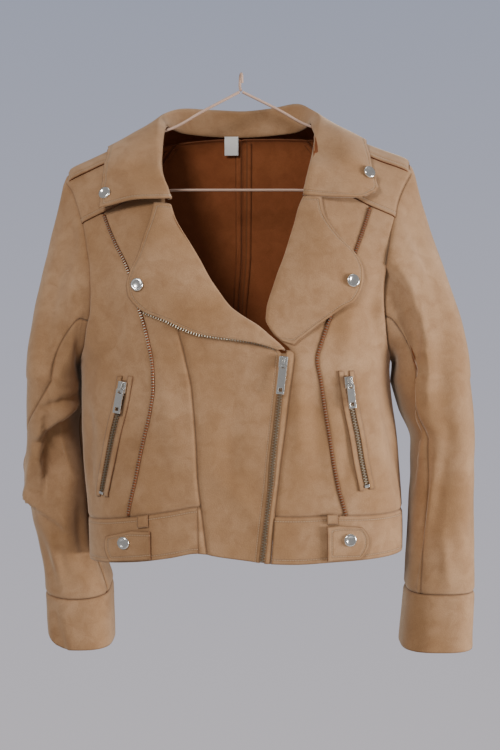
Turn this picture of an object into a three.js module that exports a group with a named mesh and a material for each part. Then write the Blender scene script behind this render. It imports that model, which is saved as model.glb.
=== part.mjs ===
// Cropped biker jacket of imitation suede on a wire hanger.
// Units are millimetres, +Z is up, the front of the jacket faces -Y and the
// origin is the inner top of the hanger's hook. Right and left are the wearer's.
import * as THREE from 'three';

// ---- driving dimensions -------------------------------------------------
const clothWall = 1.5;
const seamPull = 0.2;
const lappedLift = 2.2;
const bandTop = 0.104;
const yokeSeam = 0.835;
const zipTop = 0.457;
const snapRadius = 7.2;
const snapHeight = 2.6;
const wireRadius = 1.6;
const barDrop = 132;
const barHalf = 176;
const armEndX = 190;
const hookReach = 8;
const stripRise = 3.4;
const pullLength = 32;
const pullWidth = 8.6;
const pullWall = 1.4;
const chainWidth = 4.8;
const chainWall = 1.6;
const panelRows = 13;
const ringSteps = 20;

const suede = { color: 0x9c7650, roughness: 0.92, metalness: 0 };
const cuffSuede = { color: 0xa37c57, roughness: 0.92, metalness: 0 };
const silver = { color: 0xc9cacb, roughness: 0.28, metalness: 1 };
const blushWire = { color: 0xc8a08b, roughness: 0.5, metalness: 0 };
const white = { color: 0xe4e2dd, roughness: 0.8, metalness: 0 };

// ---- smooth tables ------------------------------------------------------
function slopes(xs, ys) {
  const n = xs.length;
  const d = [];
  for (let k = 0; k < n - 1; k += 1) d.push((ys[k + 1] - ys[k]) / (xs[k + 1] - xs[k]));
  const m = [d[0]];
  for (let k = 1; k < n - 1; k += 1) {
    m.push(d[k - 1] * d[k] <= 0 ? 0 : (2 * d[k - 1] * d[k]) / (d[k - 1] + d[k]));
  }
  m.push(d[n - 2]);
  return m;
}

function curveOf(xs, ys) {
  const m = slopes(xs, ys);
  return (x) => {
    let k = 0;
    while (k < xs.length - 2 && x > xs[k + 1]) k += 1;
    const h = xs[k + 1] - xs[k];
    const s = Math.min(Math.max((x - xs[k]) / h, 0), 1);
    const a = (1 + 2 * s) * (1 - s) * (1 - s) * ys[k] + s * (1 - s) * (1 - s) * h * m[k];
    const b = s * s * (3 - 2 * s) * ys[k + 1] + s * s * (s - 1) * h * m[k + 1];
    return a + b;
  };
}

function table(names, rows) {
  const sorted = rows.slice().sort((p, q) => p[0] - q[0]);
  const xs = sorted.map((row) => row[0]);
  const out = {};
  names.split(' ').forEach((name, i) => {
    out[name] = curveOf(xs, sorted.map((row) => row[i]));
  });
  return out;
}

const mix = (a, b, t) => a + (b - a) * t;
const clamp = (x, a, b) => Math.min(Math.max(x, a), b);
const vec = (x, y, z) => new THREE.Vector3(x, y, z);

// ---- body surface -------------------------------------------------------
// v runs from the hem to the shoulder line, theta runs round the body in
// degrees: 0 is the middle of the front, 90 the left side, 180 the back.
const bodyStations = table('v centreX halfWidth front back square', [
  [0.00, 6, 179, 84, 68, 0.25],
  [0.10, 5, 179, 87, 70, 0.25],
  [0.25, 0, 180, 93, 68, 0.22],
  [0.45, -6, 176, 97, 68, 0.20],
  [0.52, -5, 180, 96, 70, 0.20],
  [0.60, -3, 192, 92, 72, 0.20],
  [0.70, 0, 207, 82, 72, 0.20],
  [0.80, 0, 217, 65, 68, 0.20],
  [0.90, 0, 222, 43, 58, 0.20],
  [0.95, 0, 224, 29, 54, 0.20],
  [0.98, 0, 225, 17, 44, 0.20],
  [1.00, 0, 226, 0.4, 0.4, 0.20],
]);
const shoulderLine = table('x z', [
  [-226, -124], [-200, -112], [-151, -90], [-80, -57], [0, -49],
  [80, -52], [143, -82], [202, -104], [226, -114],
]);
const hemLine = table('x z', [
  [-190, -552], [-150, -550], [-110, -547], [-75, -542], [-47, -537], [-20, -541],
  [10, -545], [30, -548], [60, -549], [100, -547], [140, -545], [190, -541],
]);
// Soft troughs and ridges of the body cloth: from, to, half width and depth.
const bodyFolds = [
  { t0: -44, v0: 0.70, t1: -40, v1: 0.48, half: 14, depth: -4 },
  { t0: 42, v0: 0.72, t1: 47, v1: 0.50, half: 14, depth: -5 },
  { t0: -60, v0: 0.47, t1: -62, v1: 0.16, half: 16, depth: -4 },
  { t0: 62, v0: 0.46, t1: 66, v1: 0.16, half: 16, depth: -4 },
  { t0: 150, v0: 0.80, t1: 158, v1: 0.30, half: 22, depth: -5 },
  { t0: -148, v0: 0.78, t1: -160, v1: 0.28, half: 22, depth: -5 },
  { t0: 118, v0: 0.50, t1: 130, v1: 0.14, half: 18, depth: -4 },
  { t0: -118, v0: 0.50, t1: -128, v1: 0.14, half: 18, depth: -4 },
];

function foldDepth(theta, v, folds) {
  let sum = 0;
  for (const f of folds) {
    const wrap = ((theta - f.t0 + 540) % 360) - 180;
    const ax = (f.t1 - f.t0) * 2.6;
    const ay = (f.v1 - f.v0) * 440;
    const px = wrap * 2.6;
    const py = (v - f.v0) * 440;
    const along = clamp((px * ax + py * ay) / (ax * ax + ay * ay), 0, 1);
    const d = Math.hypot(px - along * ax, py - along * ay) / f.half;
    const fade = Math.sin(Math.PI * clamp(along, 0.08, 0.92));
    sum += f.depth * fade * Math.exp(-d * d);
  }
  return sum;
}

function bodyPoint(theta, v) {
  const a = (theta * Math.PI) / 180;
  const s = Math.sin(a);
  const c = Math.cos(a);
  const k = bodyStations.square(v);
  const x = bodyStations.centreX(v) + bodyStations.halfWidth(v) * s * (1 + k * c * c);
  const depth = c > 0 ? bodyStations.front(v) : bodyStations.back(v);
  const y = -depth * c * (1 + k * s * s);
  const backHem = -546.4 + 0.027 * x - 1.5 * (1 - (x / 180) ** 2);
  const low = c > 0 ? hemLine.z(x) : backHem;
  return vec(x, y, low + (shoulderLine.z(x) - low) * v);
}

function bodyNormal(theta, v) {
  const across = bodyPoint(theta + 0.5, v).sub(bodyPoint(theta - 0.5, v));
  const low = clamp(v - 0.004, 0, 0.985);
  const up = bodyPoint(theta, low + 0.008).sub(bodyPoint(theta, low));
  return across.cross(up).normalize();
}

function onBody(theta, v, lift = 0) {
  const move = lift + foldDepth(theta, v, bodyFolds);
  return bodyPoint(theta, v).addScaledVector(bodyNormal(theta, v), move);
}

// ---- seams and edges on the body (theta by v) ---------------------------
const trimRight = table('v t', [
  [0.00, -39.5], [0.109, -37.5], [0.186, -33.6], [0.271, -29.6], [0.334, -26.6], [0.387, -25.2],
  [0.426, -25.3], [0.488, -26.8], [0.559, -28.8], [0.665, -31.3], [0.746, -34.5], [0.86, -39.0],
]);
const trimLeft = table('v t', [
  [0.00, 32.0], [0.10, 30.8], [0.16, 28.8], [0.225, 27.7], [0.31, 26.9], [0.395, 26.4],
  [0.444, 25.4], [0.47, 26.3], [0.537, 28.6], [0.598, 29.9], [0.681, 31.0], [0.758, 32.9],
  [0.86, 36.0],
]);
const overlapSeam = table('v t', [
  [0.00, -10.8], [0.087, -12.0], [0.163, -12.7], [0.251, -12.5], [0.36, -12.8], [0.438, -14.6],
  [0.506, -16.7], [0.607, -17.6], [0.697, -18.1], [0.794, -18.8], [0.86, -19.2],
]);
const zipEdge = table('v t', [
  [0.00, 4.4], [0.106, 6.1], [0.181, 7.9], [0.267, 9.9], [0.351, 12.2], [0.415, 13.8], [0.457, 14.5],
]);
const stripEdge = table('v t', [
  [0.00, 6.9], [0.107, 8.3], [0.182, 10.1], [0.267, 12.5], [0.352, 15.2], [0.416, 17.2], [0.464, 18.3],
]);
const rollRight = table('v t', [
  [0.457, 14.2], [0.506, 5.6], [0.555, -3.1], [0.62, -8.7], [0.703, -14.0], [0.80, -17.6],
]);
const rollLeft = table('v t', [
  [0.464, 18.3], [0.472, 15.0], [0.486, 12.0], [0.505, 9.6], [0.53, 8.4], [0.605, 10.2],
  [0.704, 12.7], [0.80, 15.6], [0.86, 16.2],
]);
const armholeRight = table('v t', [
  [0.487, -90], [0.50, -77], [0.52, -67], [0.547, -61], [0.585, -55], [0.628, -50.4],
  [0.689, -47.8], [0.738, -46.7], [0.776, -46.7], [0.826, -47.4], [0.861, -48.7],
  [0.901, -50.7], [0.933, -52.8], [0.964, -56.5], [1, -58.5],
]);
const armholeLeft = table('v t', [
  [0.475, 90], [0.499, 70], [0.53, 62], [0.564, 56], [0.613, 50], [0.674, 45.8], [0.722, 44.7],
  [0.772, 44.6], [0.828, 45.6], [0.859, 46.2], [0.894, 47.8], [0.938, 51.1], [0.962, 53.4],
  [1, 57],
]);
const armholeBackRight = table('v t', [
  [0.487, -90], [0.50, -103], [0.53, -114], [0.60, -125], [0.70, -132], [0.80, -133],
  [0.90, -128], [0.964, -122], [1, -121.5],
]);
const armholeBackLeft = table('v t', [
  [0.475, 90], [0.50, 104], [0.53, 115], [0.60, 126], [0.70, 132.5], [0.80, 134],
  [0.90, 129], [0.964, 124], [1, 123],
]);
const backSeam = table('v t', [
  [0.00, 148], [0.10, 149], [0.30, 147], [0.50, 144], [0.70, 144], [0.82, 149], [0.90, 155], [0.98, 163],
]);

// ---- cloth solids -------------------------------------------------------
function geometryFrom(points, faces) {
  const flat = new Float32Array(faces.length * 9);
  faces.forEach((face, f) => {
    face.forEach((index, c) => {
      points[index].toArray(flat, f * 9 + c * 3);
    });
  });
  const geometry = new THREE.BufferGeometry();
  geometry.setAttribute('position', new THREE.BufferAttribute(flat, 3));
  geometry.computeVertexNormals();
  return geometry;
}

function gridNormal(grid, j, i, closed) {
  const rows = grid.length;
  const cols = grid[0].length;
  const i0 = closed ? (i + cols - 1) % cols : Math.max(i - 1, 0);
  const i1 = closed ? (i + 1) % cols : Math.min(i + 1, cols - 1);
  const j0 = Math.max(j - 1, 0);
  const j1 = Math.min(j + 1, rows - 1);
  const across = grid[j][i1].clone().sub(grid[j][i0]);
  const up = grid[j1][i].clone().sub(grid[j0][i]);
  return across.cross(up).normalize();
}

// The grid is the outer face; the inner face lies one wall behind it.
function shell(grid, wall, closed = false) {
  const rows = grid.length;
  const cols = grid[0].length;
  const points = [];
  grid.forEach((row) => row.forEach((p) => points.push(p)));
  grid.forEach((row, j) => row.forEach((p, i) => {
    points.push(p.clone().addScaledVector(gridNormal(grid, j, i, closed), -wall));
  }));
  const at = (j, i, side) => side * rows * cols + j * cols + (i % cols);
  const faces = [];
  const quad = (a, b, c, d) => faces.push([a, b, c], [a, c, d]);
  const spans = closed ? cols : cols - 1;
  for (let j = 0; j < rows - 1; j += 1) {
    for (let i = 0; i < spans; i += 1) {
      quad(at(j, i, 0), at(j, i + 1, 0), at(j + 1, i + 1, 0), at(j + 1, i, 0));
      quad(at(j, i, 1), at(j + 1, i, 1), at(j + 1, i + 1, 1), at(j, i + 1, 1));
    }
  }
  for (let i = 0; i < spans; i += 1) {
    quad(at(0, i, 0), at(0, i, 1), at(0, i + 1, 1), at(0, i + 1, 0));
    quad(at(rows - 1, i, 0), at(rows - 1, i + 1, 0), at(rows - 1, i + 1, 1), at(rows - 1, i, 1));
  }
  if (!closed) {
    for (let j = 0; j < rows - 1; j += 1) {
      quad(at(j, 0, 0), at(j + 1, 0, 0), at(j + 1, 0, 1), at(j, 0, 1));
      quad(at(j, cols - 1, 0), at(j, cols - 1, 1), at(j + 1, cols - 1, 1), at(j + 1, cols - 1, 0));
    }
  }
  return geometryFrom(points, faces);
}

// Edges are drawn in by half of the seam gap, along the cloth.
function pullEdges(grid, sidePull) {
  const rows = grid.length;
  const cols = grid[0].length;
  const toward = (p, q, pull) => p.addScaledVector(q.clone().sub(p).normalize(), pull);
  for (let i = 0; i < cols; i += 1) {
    toward(grid[0][i], grid[1][i], seamPull);
    toward(grid[rows - 1][i], grid[rows - 2][i], seamPull);
  }
  for (let j = 0; j < rows; j += 1) {
    toward(grid[j][0], grid[j][1], sidePull);
    toward(grid[j][cols - 1], grid[j][cols - 2], sidePull);
  }
  return grid;
}

const asFunction = (side) => (typeof side === 'function' ? side : () => side);

function bodyGrid({ left, right, low, high, rows, cols, lift = 0 }) {
  const l = asFunction(left);
  const r = asFunction(right);
  const b = asFunction(low);
  const t = asFunction(high);
  const rise = asFunction(lift);
  const grid = [];
  for (let j = 0; j <= rows; j += 1) {
    const row = [];
    for (let i = 0; i <= cols; i += 1) {
      let v = mix(b(0), t(0), j / rows);
      let theta = 0;
      for (let pass = 0; pass < 8; pass += 1) {
        theta = mix(l(v), r(v), i / cols);
        v = mix(b(theta), t(theta), j / rows);
      }
      row.push(onBody(theta, v, rise(i / cols, j / rows)));
    }
    grid.push(row);
  }
  return grid;
}

const group = new THREE.Group();
group.name = 'suede_jacket_on_hanger';

function add(name, geometry, look) {
  const material = new THREE.MeshStandardMaterial({ ...look, flatShading: true });
  material.name = name;
  const mesh = new THREE.Mesh(geometry, material);
  mesh.name = name;
  group.add(mesh);
}

function cloth(name, grid, sidePull = seamPull) {
  add(name, shell(pullEdges(grid, sidePull), clothWall), suede);
}

function bodyPanel(name, sides) {
  cloth(name, bodyGrid(sides));
}

// ---- fronts and backs ---------------------------------------------------
const yokeTuck = (theta) => yokeSeam + 0.012 - 0.00012 * Math.abs(theta);
const sideRight = (v) => (v < 0.487 ? -90 : armholeRight.t(v));
const sideLeft = (v) => (v < 0.475 ? 90 : armholeLeft.t(v));
const sideBackRight = (v) => (v < 0.487 ? -90 : armholeBackRight.t(v));
const sideBackLeft = (v) => (v < 0.475 ? 90 : armholeBackLeft.t(v));
const neckBack = (theta) => 0.974 + 0.004 * clamp((Math.abs(Math.abs(theta) - 180)) / 20, 0, 1);
const frontRows = { low: bandTop + 0.0012, high: yokeTuck, rows: panelRows };
const backRows = { low: bandTop + 0.0012, high: neckBack, rows: panelRows + 2 };

bodyPanel('side_front_right', { left: sideRight, right: trimRight.t, cols: 5, ...frontRows });
bodyPanel('side_front_left', { left: trimLeft.t, right: sideLeft, cols: 5, ...frontRows });
bodyPanel('centre_front_right', { left: trimRight.t, right: overlapSeam.t, cols: 3, ...frontRows });
bodyPanel('overlap_front_right', {
  left: overlapSeam.t,
  right: (v) => (v < zipTop ? zipEdge.t(v) - 0.72 : rollRight.t(v) - 1.0),
  low: 0,
  high: 0.775,
  rows: 18,
  cols: 4,
});
bodyPanel('zip_strip_left', {
  left: (v) => zipEdge.t(v) + 0.72,
  right: stripEdge.t,
  low: 0,
  high: 0.444,
  rows: 9,
  cols: 1,
});
bodyPanel('centre_front_left', {
  left: (v) => (v < 0.464 ? stripEdge.t(v) : rollLeft.t(v) + 0.6),
  right: trimLeft.t,
  cols: 3,
  low: bandTop + 0.0012,
  high: yokeTuck,
  rows: panelRows,
});
bodyPanel('side_back_left', { left: sideBackLeft, right: backSeam.t, cols: 4, ...backRows });
bodyPanel('centre_back_left', { left: (v) => backSeam.t(v) + 0.1, right: 180, cols: 3, ...backRows });
bodyPanel('centre_back_right', { left: -180, right: (v) => -backSeam.t(v), cols: 3, ...backRows });
bodyPanel('side_back_right', {
  left: (v) => -backSeam.t(v), right: sideBackRight, cols: 4, ...backRows,
});

// ---- yokes and shoulder strips ------------------------------------------
const lapped = { lift: lappedLift };
const neckEdge = (v) => mix(19.5, 23.5, clamp((v - 0.84) / 0.1, 0, 1));
bodyPanel('front_yoke_right', {
  left: armholeRight.t, right: (v) => -neckEdge(v), low: (t) => yokeSeam - 0.0004 * (Math.abs(t) - 38),
  high: 0.972, rows: 4, cols: 6, ...lapped,
});
bodyPanel('front_yoke_left', {
  left: neckEdge, right: armholeLeft.t, low: (t) => yokeSeam - 0.0006 * (Math.abs(t) - 34),
  high: 0.972, rows: 4, cols: 6, ...lapped,
});

// The back comes over the shoulder and ends in a folded edge on the yoke.
const stripRows = [
  { v: 0.962, lift: 2 * lappedLift },
  { v: 0.974, lift: 2 * lappedLift },
  { v: 0.986, lift: 1.7 * lappedLift },
];
function shoulderStrip(side, neck, frontEnd, backEnd) {
  const cols = 7;
  const at = (f, row, back) => {
    const theta = back ? 180 - mix(neck + 1, 180 - backEnd, f) : mix(neck, frontEnd, f);
    const slip = back ? -0.006 : 0;
    return onBody(side * theta, row.v + slip, back ? row.lift * 0.55 + 0.4 : row.lift);
  };
  const grid = [];
  const line = (make) => {
    const row = [];
    for (let i = 0; i <= cols; i += 1) row.push(make(i / cols));
    grid.push(side > 0 ? row : row.reverse());
  };
  stripRows.forEach((row) => line((f) => at(f, row, false)));
  line((f) => {
    const top = at(f, stripRows[2], false).lerp(at(f, stripRows[2], true), 0.5);
    return vec(top.x, 0, shoulderLine.z(top.x) + stripRise);
  });
  stripRows.slice().reverse().forEach((row) => line((f) => at(f, row, true)));
  return grid;
}
cloth('shoulder_strip_right', shoulderStrip(-1, 24, 55.5, 123));
cloth('shoulder_strip_left', shoulderStrip(1, 24, 52.5, 125));

// ---- waistband ----------------------------------------------------------
const bandRow = { low: 0, high: bandTop, rows: 2 };
bodyPanel('waistband_right', { left: -90, right: -13.6, cols: 8, ...bandRow });
bodyPanel('band_edge_right', {
  left: -13.6, right: (v) => overlapSeam.t(v), cols: 1, ...bandRow,
});
bodyPanel('waistband_left', { left: (v) => stripEdge.t(v), right: 90, cols: 8, ...bandRow });
bodyPanel('waistband_back', { left: 90, right: 270, cols: 14, ...bandRow });
bodyPanel('waist_tab_right', {
  left: (v) => mix(-46, -50.5, Math.sin(Math.PI * clamp(v / 0.08, 0, 1)) ** 0.7),
  right: -28.6, low: 0.004, high: (t) => 0.074 - 0.0007 * Math.abs(t + 36), rows: 4, cols: 4, ...lapped,
});
bodyPanel('waist_tab_left', {
  left: 23.8, right: (v) => mix(34.5, 40.6, Math.sin(Math.PI * clamp(v / 0.086, 0, 1)) ** 0.7),
  low: 0.004, high: (t) => 0.083 - 0.0005 * Math.abs(t - 28), rows: 4, cols: 4, ...lapped,
});
bodyPanel('tab_loop_right', {
  left: -33.4, right: -29.2, low: 0.078, high: 0.104, rows: 1, cols: 1, lift: lappedLift,
});
bodyPanel('tab_loop_left', {
  left: 23.8, right: 27.6, low: 0.088, high: 0.108, rows: 1, cols: 1, lift: lappedLift,
});

// ---- ribbons that lie on the body: zip chains and zip trims --------------
function ribbon(name, path, v0, v1, rows, width, lift, look, wall) {
  const grid = [];
  for (let j = 0; j <= rows; j += 1) {
    const v = mix(v0, v1, j / rows);
    const centre = onBody(path(v), v, lift);
    const next = onBody(path(v + 0.004), v + 0.004, lift);
    const normal = bodyNormal(path(v), v);
    const across = next.sub(centre).normalize().cross(normal).normalize();
    grid.push([
      centre.clone().addScaledVector(across, -width / 2),
      centre.clone().addScaledVector(across, width / 2),
    ]);
  }
  add(name, shell(grid, wall), look);
}

const pocketRight = table('v t', [[0.168, -51.6], [0.241, -46.2], [0.308, -42.1], [0.372, -38.2], [0.424, -36.2]]);
const pocketLeft = table('v t', [[0.173, 40.6], [0.23, 39.3], [0.296, 38.4], [0.361, 37.4], [0.424, 36.8]]);
const trimWidth = 3.2;
ribbon('zip_trim_right', trimRight.t, 0.112, 0.825, 20, trimWidth, 1.2, silver, 0.8);
ribbon('zip_trim_left', trimLeft.t, 0.106, 0.825, 20, trimWidth, 1.2, silver, 0.8);
ribbon('main_zip_chain', zipEdge.t, 0.004, 0.452, 18, chainWidth, 1.1, silver, chainWall);
ribbon('pocket_zip_chain_right', pocketRight.t, 0.172, 0.405, 7, chainWidth, 2.0, silver, chainWall);
ribbon('pocket_zip_chain_left', pocketLeft.t, 0.177, 0.405, 7, chainWidth, 2.0, silver, chainWall);

// ---- sheets that fold out: collar and lapels ------------------------------
// Each station runs from the roll line over a middle point to the outer edge.
function foldedSheet(stations, steps) {
  return stations.map(([roll, middle, edge]) => {
    const curve = new THREE.CatmullRomCurve3([roll, middle, edge], false, 'centripetal');
    const row = [];
    for (let k = 0; k <= steps; k += 1) row.push(curve.getPoint(k / steps));
    return row;
  });
}

function lapelStations(rows, side) {
  const t = table('k rollT rollV edgeT edgeV rollLift midLift edgeLift', rows);
  const out = [];
  const count = 22;
  for (let n = 0; n <= count; n += 1) {
    const k = (n * (rows.length - 1)) / count;
    const roll = [t.rollT(k), t.rollV(k)];
    const edge = [t.edgeT(k), t.edgeV(k)];
    out.push([
      onBody(roll[0], roll[1], t.rollLift(k)),
      onBody(mix(roll[0], edge[0], 0.5), mix(roll[1], edge[1], 0.5), t.midLift(k)),
      onBody(edge[0], edge[1], t.edgeLift(k)),
    ]);
  }
  return side < 0 ? out.reverse() : out;
}

const lapelRight = foldedSheet(lapelStations([
  [0, -17.6, 0.788, -21.6, 0.798, 3.4, 4.4, 5.4],
  [1, -16.5, 0.755, -23.1, 0.754, 1.6, 5.5, 7.0],
  [2, -15.0, 0.725, -24.8, 0.724, 1.5, 7.0, 8.5],
  [3, -13.0, 0.690, -27.3, 0.683, 1.5, 8.0, 9.0],
  [4, -10.5, 0.650, -30.1, 0.654, 1.5, 8.5, 8.5],
  [5, -8.0, 0.612, -31.9, 0.626, 1.8, 8.5, 7.5],
  [6, -5.0, 0.577, -31.9, 0.606, 3.2, 8.0, 6.5],
  [7, -2.0, 0.547, -28.4, 0.563, 4.2, 7.5, 6.0],
  [8, 2.0, 0.525, -20.2, 0.524, 5.4, 7.0, 6.5],
  [9, 6.0, 0.506, -9.8, 0.483, 6.4, 7.4, 7.4],
  [10, 9.5, 0.487, 0.1, 0.476, 6.6, 7.6, 7.6],
  [11, 12.5, 0.471, 7.7, 0.470, 6.4, 7.2, 7.0],
  [12, 14.0, 0.462, 12.2, 0.461, 5.2, 5.6, 5.6],
], -1), 6);
const lapelLeft = foldedSheet(lapelStations([
  [0, 16.0, 0.800, 20.1, 0.800, 3.4, 4.4, 5.2],
  [1, 14.6, 0.770, 21.0, 0.763, 2.8, 5.0, 6.0],
  [2, 13.8, 0.740, 23.2, 0.735, 2.6, 6.0, 7.5],
  [3, 13.0, 0.715, 26.0, 0.714, 2.6, 7.0, 8.5],
  [4, 12.3, 0.690, 31.1, 0.693, 2.6, 7.5, 8.5],
  [5, 11.6, 0.660, 35.2, 0.662, 2.6, 7.5, 8.0],
  [6, 10.8, 0.630, 36.7, 0.622, 2.6, 7.0, 7.0],
  [7, 10.1, 0.600, 35.8, 0.592, 2.4, 6.0, 6.5],
  [8, 9.4, 0.575, 32.5, 0.569, 2.2, 5.0, 6.5],
  [9, 8.9, 0.550, 28.5, 0.539, 2.2, 3.8, 6.0],
  [10, 8.9, 0.527, 22.5, 0.503, 2.2, 3.0, 4.4],
  [11, 10.6, 0.503, 19.0, 0.483, 2.2, 2.6, 3.2],
  [12, 14.0, 0.480, 17.6, 0.472, 2.2, 2.3, 2.6],
], 1), 6);
cloth('lapel_right', lapelRight.map((row) => row.slice().reverse()));
cloth('lapel_left', lapelLeft.slice().reverse());

// Collar: seam at the neck, stand, roll and leaf, from the right front end
// round the back to the left front end.
const collarRows = [
  [onBody(-17.4, 0.800, 0.4), onBody(-17.0, 0.795, 5.2), onBody(-27.5, 0.812, 8.6), onBody(-37.3, 0.828, 8.4)],
  [onBody(-18.2, 0.840, 0.4), onBody(-17.8, 0.825, 6.4), onBody(-27.5, 0.850, 10.0), onBody(-37.2, 0.865, 8.6)],
  [onBody(-19.0, 0.880, 0.4), onBody(-19.6, 0.870, 9.0), onBody(-28.5, 0.888, 12.0), onBody(-36.9, 0.900, 9.4)],
  [onBody(-19.2, 0.925, 0.6), vec(-92, -42, -99), onBody(-28.5, 0.925, 14.0), onBody(-36.5, 0.935, 10.0)],
  [vec(-86, -16, -68), vec(-93, -24, -72), vec(-122, -24, -79), vec(-151, -20, -90)],
  [vec(-84, 4, -56.5), vec(-95, -3, -52), vec(-124, -2, -66), vec(-152, 2, -83)],
  [vec(-78, 24, -56), vec(-89, 20, -38), vec(-116, 34, -58), vec(-140, 46, -90)],
  [vec(-66, 38, -58), vec(-70, 38, -28), vec(-82, 55, -48), vec(-94, 63, -87)],
  [vec(-34, 44, -60), vec(-36, 48, -27), vec(-40, 62, -46), vec(-44, 69, -80)],
  [vec(0, 46, -60.5), vec(0, 51, -28), vec(0, 65, -45), vec(0, 72, -78)],
  [vec(34, 44, -59), vec(36, 48, -25), vec(40, 62, -44), vec(44, 69, -79)],
  [vec(62, 38, -57), vec(66, 38, -22), vec(78, 54, -46), vec(92, 63, -86)],
  [vec(73, 24, -55), vec(82, 20, -33), vec(110, 34, -55), vec(136, 46, -85)],
  [vec(79, 4, -52.5), vec(90, -3, -47), vec(117, -2, -60), vec(143, 2, -75)],
  [vec(80, -16, -64), vec(86, -24, -67), vec(115, -24, -71), vec(143, -20, -82)],
  [onBody(18.8, 0.925, 0.6), vec(80, -40, -94), onBody(26.5, 0.918, 13.0), onBody(35.2, 0.918, 10.0)],
  [onBody(18.2, 0.880, 0.4), onBody(16.7, 0.868, 9.0), onBody(26.5, 0.878, 12.0), onBody(37.0, 0.876, 9.4)],
  [onBody(16.9, 0.840, 0.4), onBody(15.8, 0.830, 6.8), onBody(25.5, 0.843, 10.5), onBody(34.5, 0.854, 9.0)],
  [onBody(15.9, 0.802, 0.4), onBody(15.2, 0.800, 5.2), onBody(23.0, 0.803, 8.6), onBody(31.0, 0.834, 8.6)],
];
const collarFoldRadius = 2.2;
function collarRow(k) {
  const station = clamp(Math.floor(k), 0, collarRows.length - 2);
  const f = k - station;
  const pick = (column) => {
    const get = (n) => collarRows[clamp(n, 0, collarRows.length - 1)][column];
    const curve = new THREE.CatmullRomCurve3(
      [get(station - 1), get(station), get(station + 1), get(station + 2)].map((p) => p.clone()),
      false, 'catmullrom', 0.5,
    );
    return curve.getPoint((1 + f) / 3);
  };
  const seam = pick(0);
  const roll = pick(1);
  const middle = pick(2);
  const edge = pick(3);
  const rise = roll.clone().sub(seam).normalize();
  const fall = middle.clone().sub(roll).normalize();
  const crest = roll.clone().addScaledVector(rise, -collarFoldRadius);
  const start = roll.clone().addScaledVector(fall, collarFoldRadius);
  const leaf = new THREE.CatmullRomCurve3([start, middle, edge], false, 'centripetal');
  return [
    seam,
    seam.clone().lerp(crest, 0.5),
    crest,
    roll.clone().addScaledVector(rise, 0.8),
    start,
    leaf.getPoint(0.25),
    leaf.getPoint(0.5),
    leaf.getPoint(0.75),
    leaf.getPoint(1),
  ];
}
const collarGrid = [];
for (let n = 0; n <= 36; n += 1) collarGrid.push(collarRow((n * (collarRows.length - 1)) / 36));
cloth('collar', collarGrid.map((row) => row.slice().reverse()));

// ---- sleeves --------------------------------------------------------------
// z, then the outer, inner, front and back reach of each ring, and how much
// lower the front of the ring hangs than its middle.
const sleeveRight = table('z outer inner front back dip', [
  [-350, -241.5, -184, -55, 57, 0],
  [-385, -245, -185.5, -44, 64, 0],
  [-420, -247.5, -183.5, -30, 74, 0],
  [-455, -250.5, -181, -22, 78, 0],
  [-484, -249, -179.5, -17, 80, 0],
  [-512, -244, -178, -13, 81, 0],
  [-541, -237, -174.5, -7, 82, 4],
  [-570, -232.5, -161, -2, 84, 8],
  [-594, -231, -153.5, 1, 83, 10],
  [-665, -227, -152, 3, 81, 3],
]);
const sleeveLeft = table('z outer inner front back dip', [
  [-350, 257, 173, -58, 54, 0],
  [-385, 261.5, 184, -53, 50, 0],
  [-420, 264.5, 197, -47, 45, 0],
  [-455, 265.5, 197, -44, 43, 0],
  [-490, 266, 195, -42, 41, 0],
  [-525, 266, 192.5, -41, 40, 0],
  [-560, 266, 190, -40, 40, 0],
  [-590, 266, 188.5, -40, 39, 2],
  [-658, 264, 182, -41, 40, 2],
]);
// The sleeve's two seams turn round the arm on their way down to the cuff.
const seamTurnRight = table('z front back', [
  [-350, 100, 212],
  [-380, 68, 196],
  [-416, 28, 180],
  [-460, 14, 166],
  [-594, 8, 150],
]);
const seamTop = { front: 128, back: 232 };
const capEnd = -350;
const cuffSeamRight = -594;
const cuffSeamLeft = -588;
const cuffEndRight = -660;
const cuffEndLeft = -653;

// Soft folds of the sleeves: ring angle and height at both ends, half width
// in millimetres and depth.
const sleeveFoldsRight = [
  { a0: 60, z0: -150, a1: 84, z1: -330, half: 13, depth: -5 },
  { a0: 150, z0: -372, a1: 40, z1: -384, half: 8, depth: -6 },
  { a0: 132, z0: -398, a1: 70, z1: -424, half: 13, depth: 7 },
  { a0: 130, z0: -440, a1: 60, z1: -462, half: 17, depth: -12 },
  { a0: 20, z0: -486, a1: 110, z1: -512, half: 10, depth: -6 },
  { a0: 120, z0: -500, a1: 96, z1: -560, half: 10, depth: 5 },
];
const sleeveFoldsLeft = [
  { a0: 58, z0: -140, a1: 88, z1: -420, half: 12, depth: -8 },
  { a0: 120, z0: -150, a1: 140, z1: -250, half: 12, depth: 4 },
  { a0: 92, z0: -410, a1: 128, z1: -560, half: 12, depth: -4 },
];

function sleeveFold(a, z, folds) {
  let sum = 0;
  for (const f of folds) {
    const ax = (f.a1 - f.a0) * 0.9;
    const az = f.z1 - f.z0;
    const px = (((a - f.a0 + 540) % 360) - 180) * 0.9;
    const pz = z - f.z0;
    const along = clamp((px * ax + pz * az) / (ax * ax + az * az), 0, 1);
    const d = Math.hypot(px - along * ax, pz - along * az) / f.half;
    sum += f.depth * Math.sin(Math.PI * clamp(along, 0.12, 0.88)) * Math.exp(-d * d);
  }
  return sum;
}

function armholePoint(side, a) {
  const front = (a + 360) % 360 <= 180;
  const low = side < 0 ? 0.489 : 0.477;
  const turn = (a * Math.PI) / 180;
  const v = low + (0.985 - low) * (0.5 + 0.5 * Math.cos(turn));
  let theta = 0;
  if (side < 0) theta = front ? armholeRight.t(v) : armholeBackRight.t(v);
  else theta = front ? armholeLeft.t(v) : armholeBackLeft.t(v);
  return onBody(theta, v, 0);
}

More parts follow.
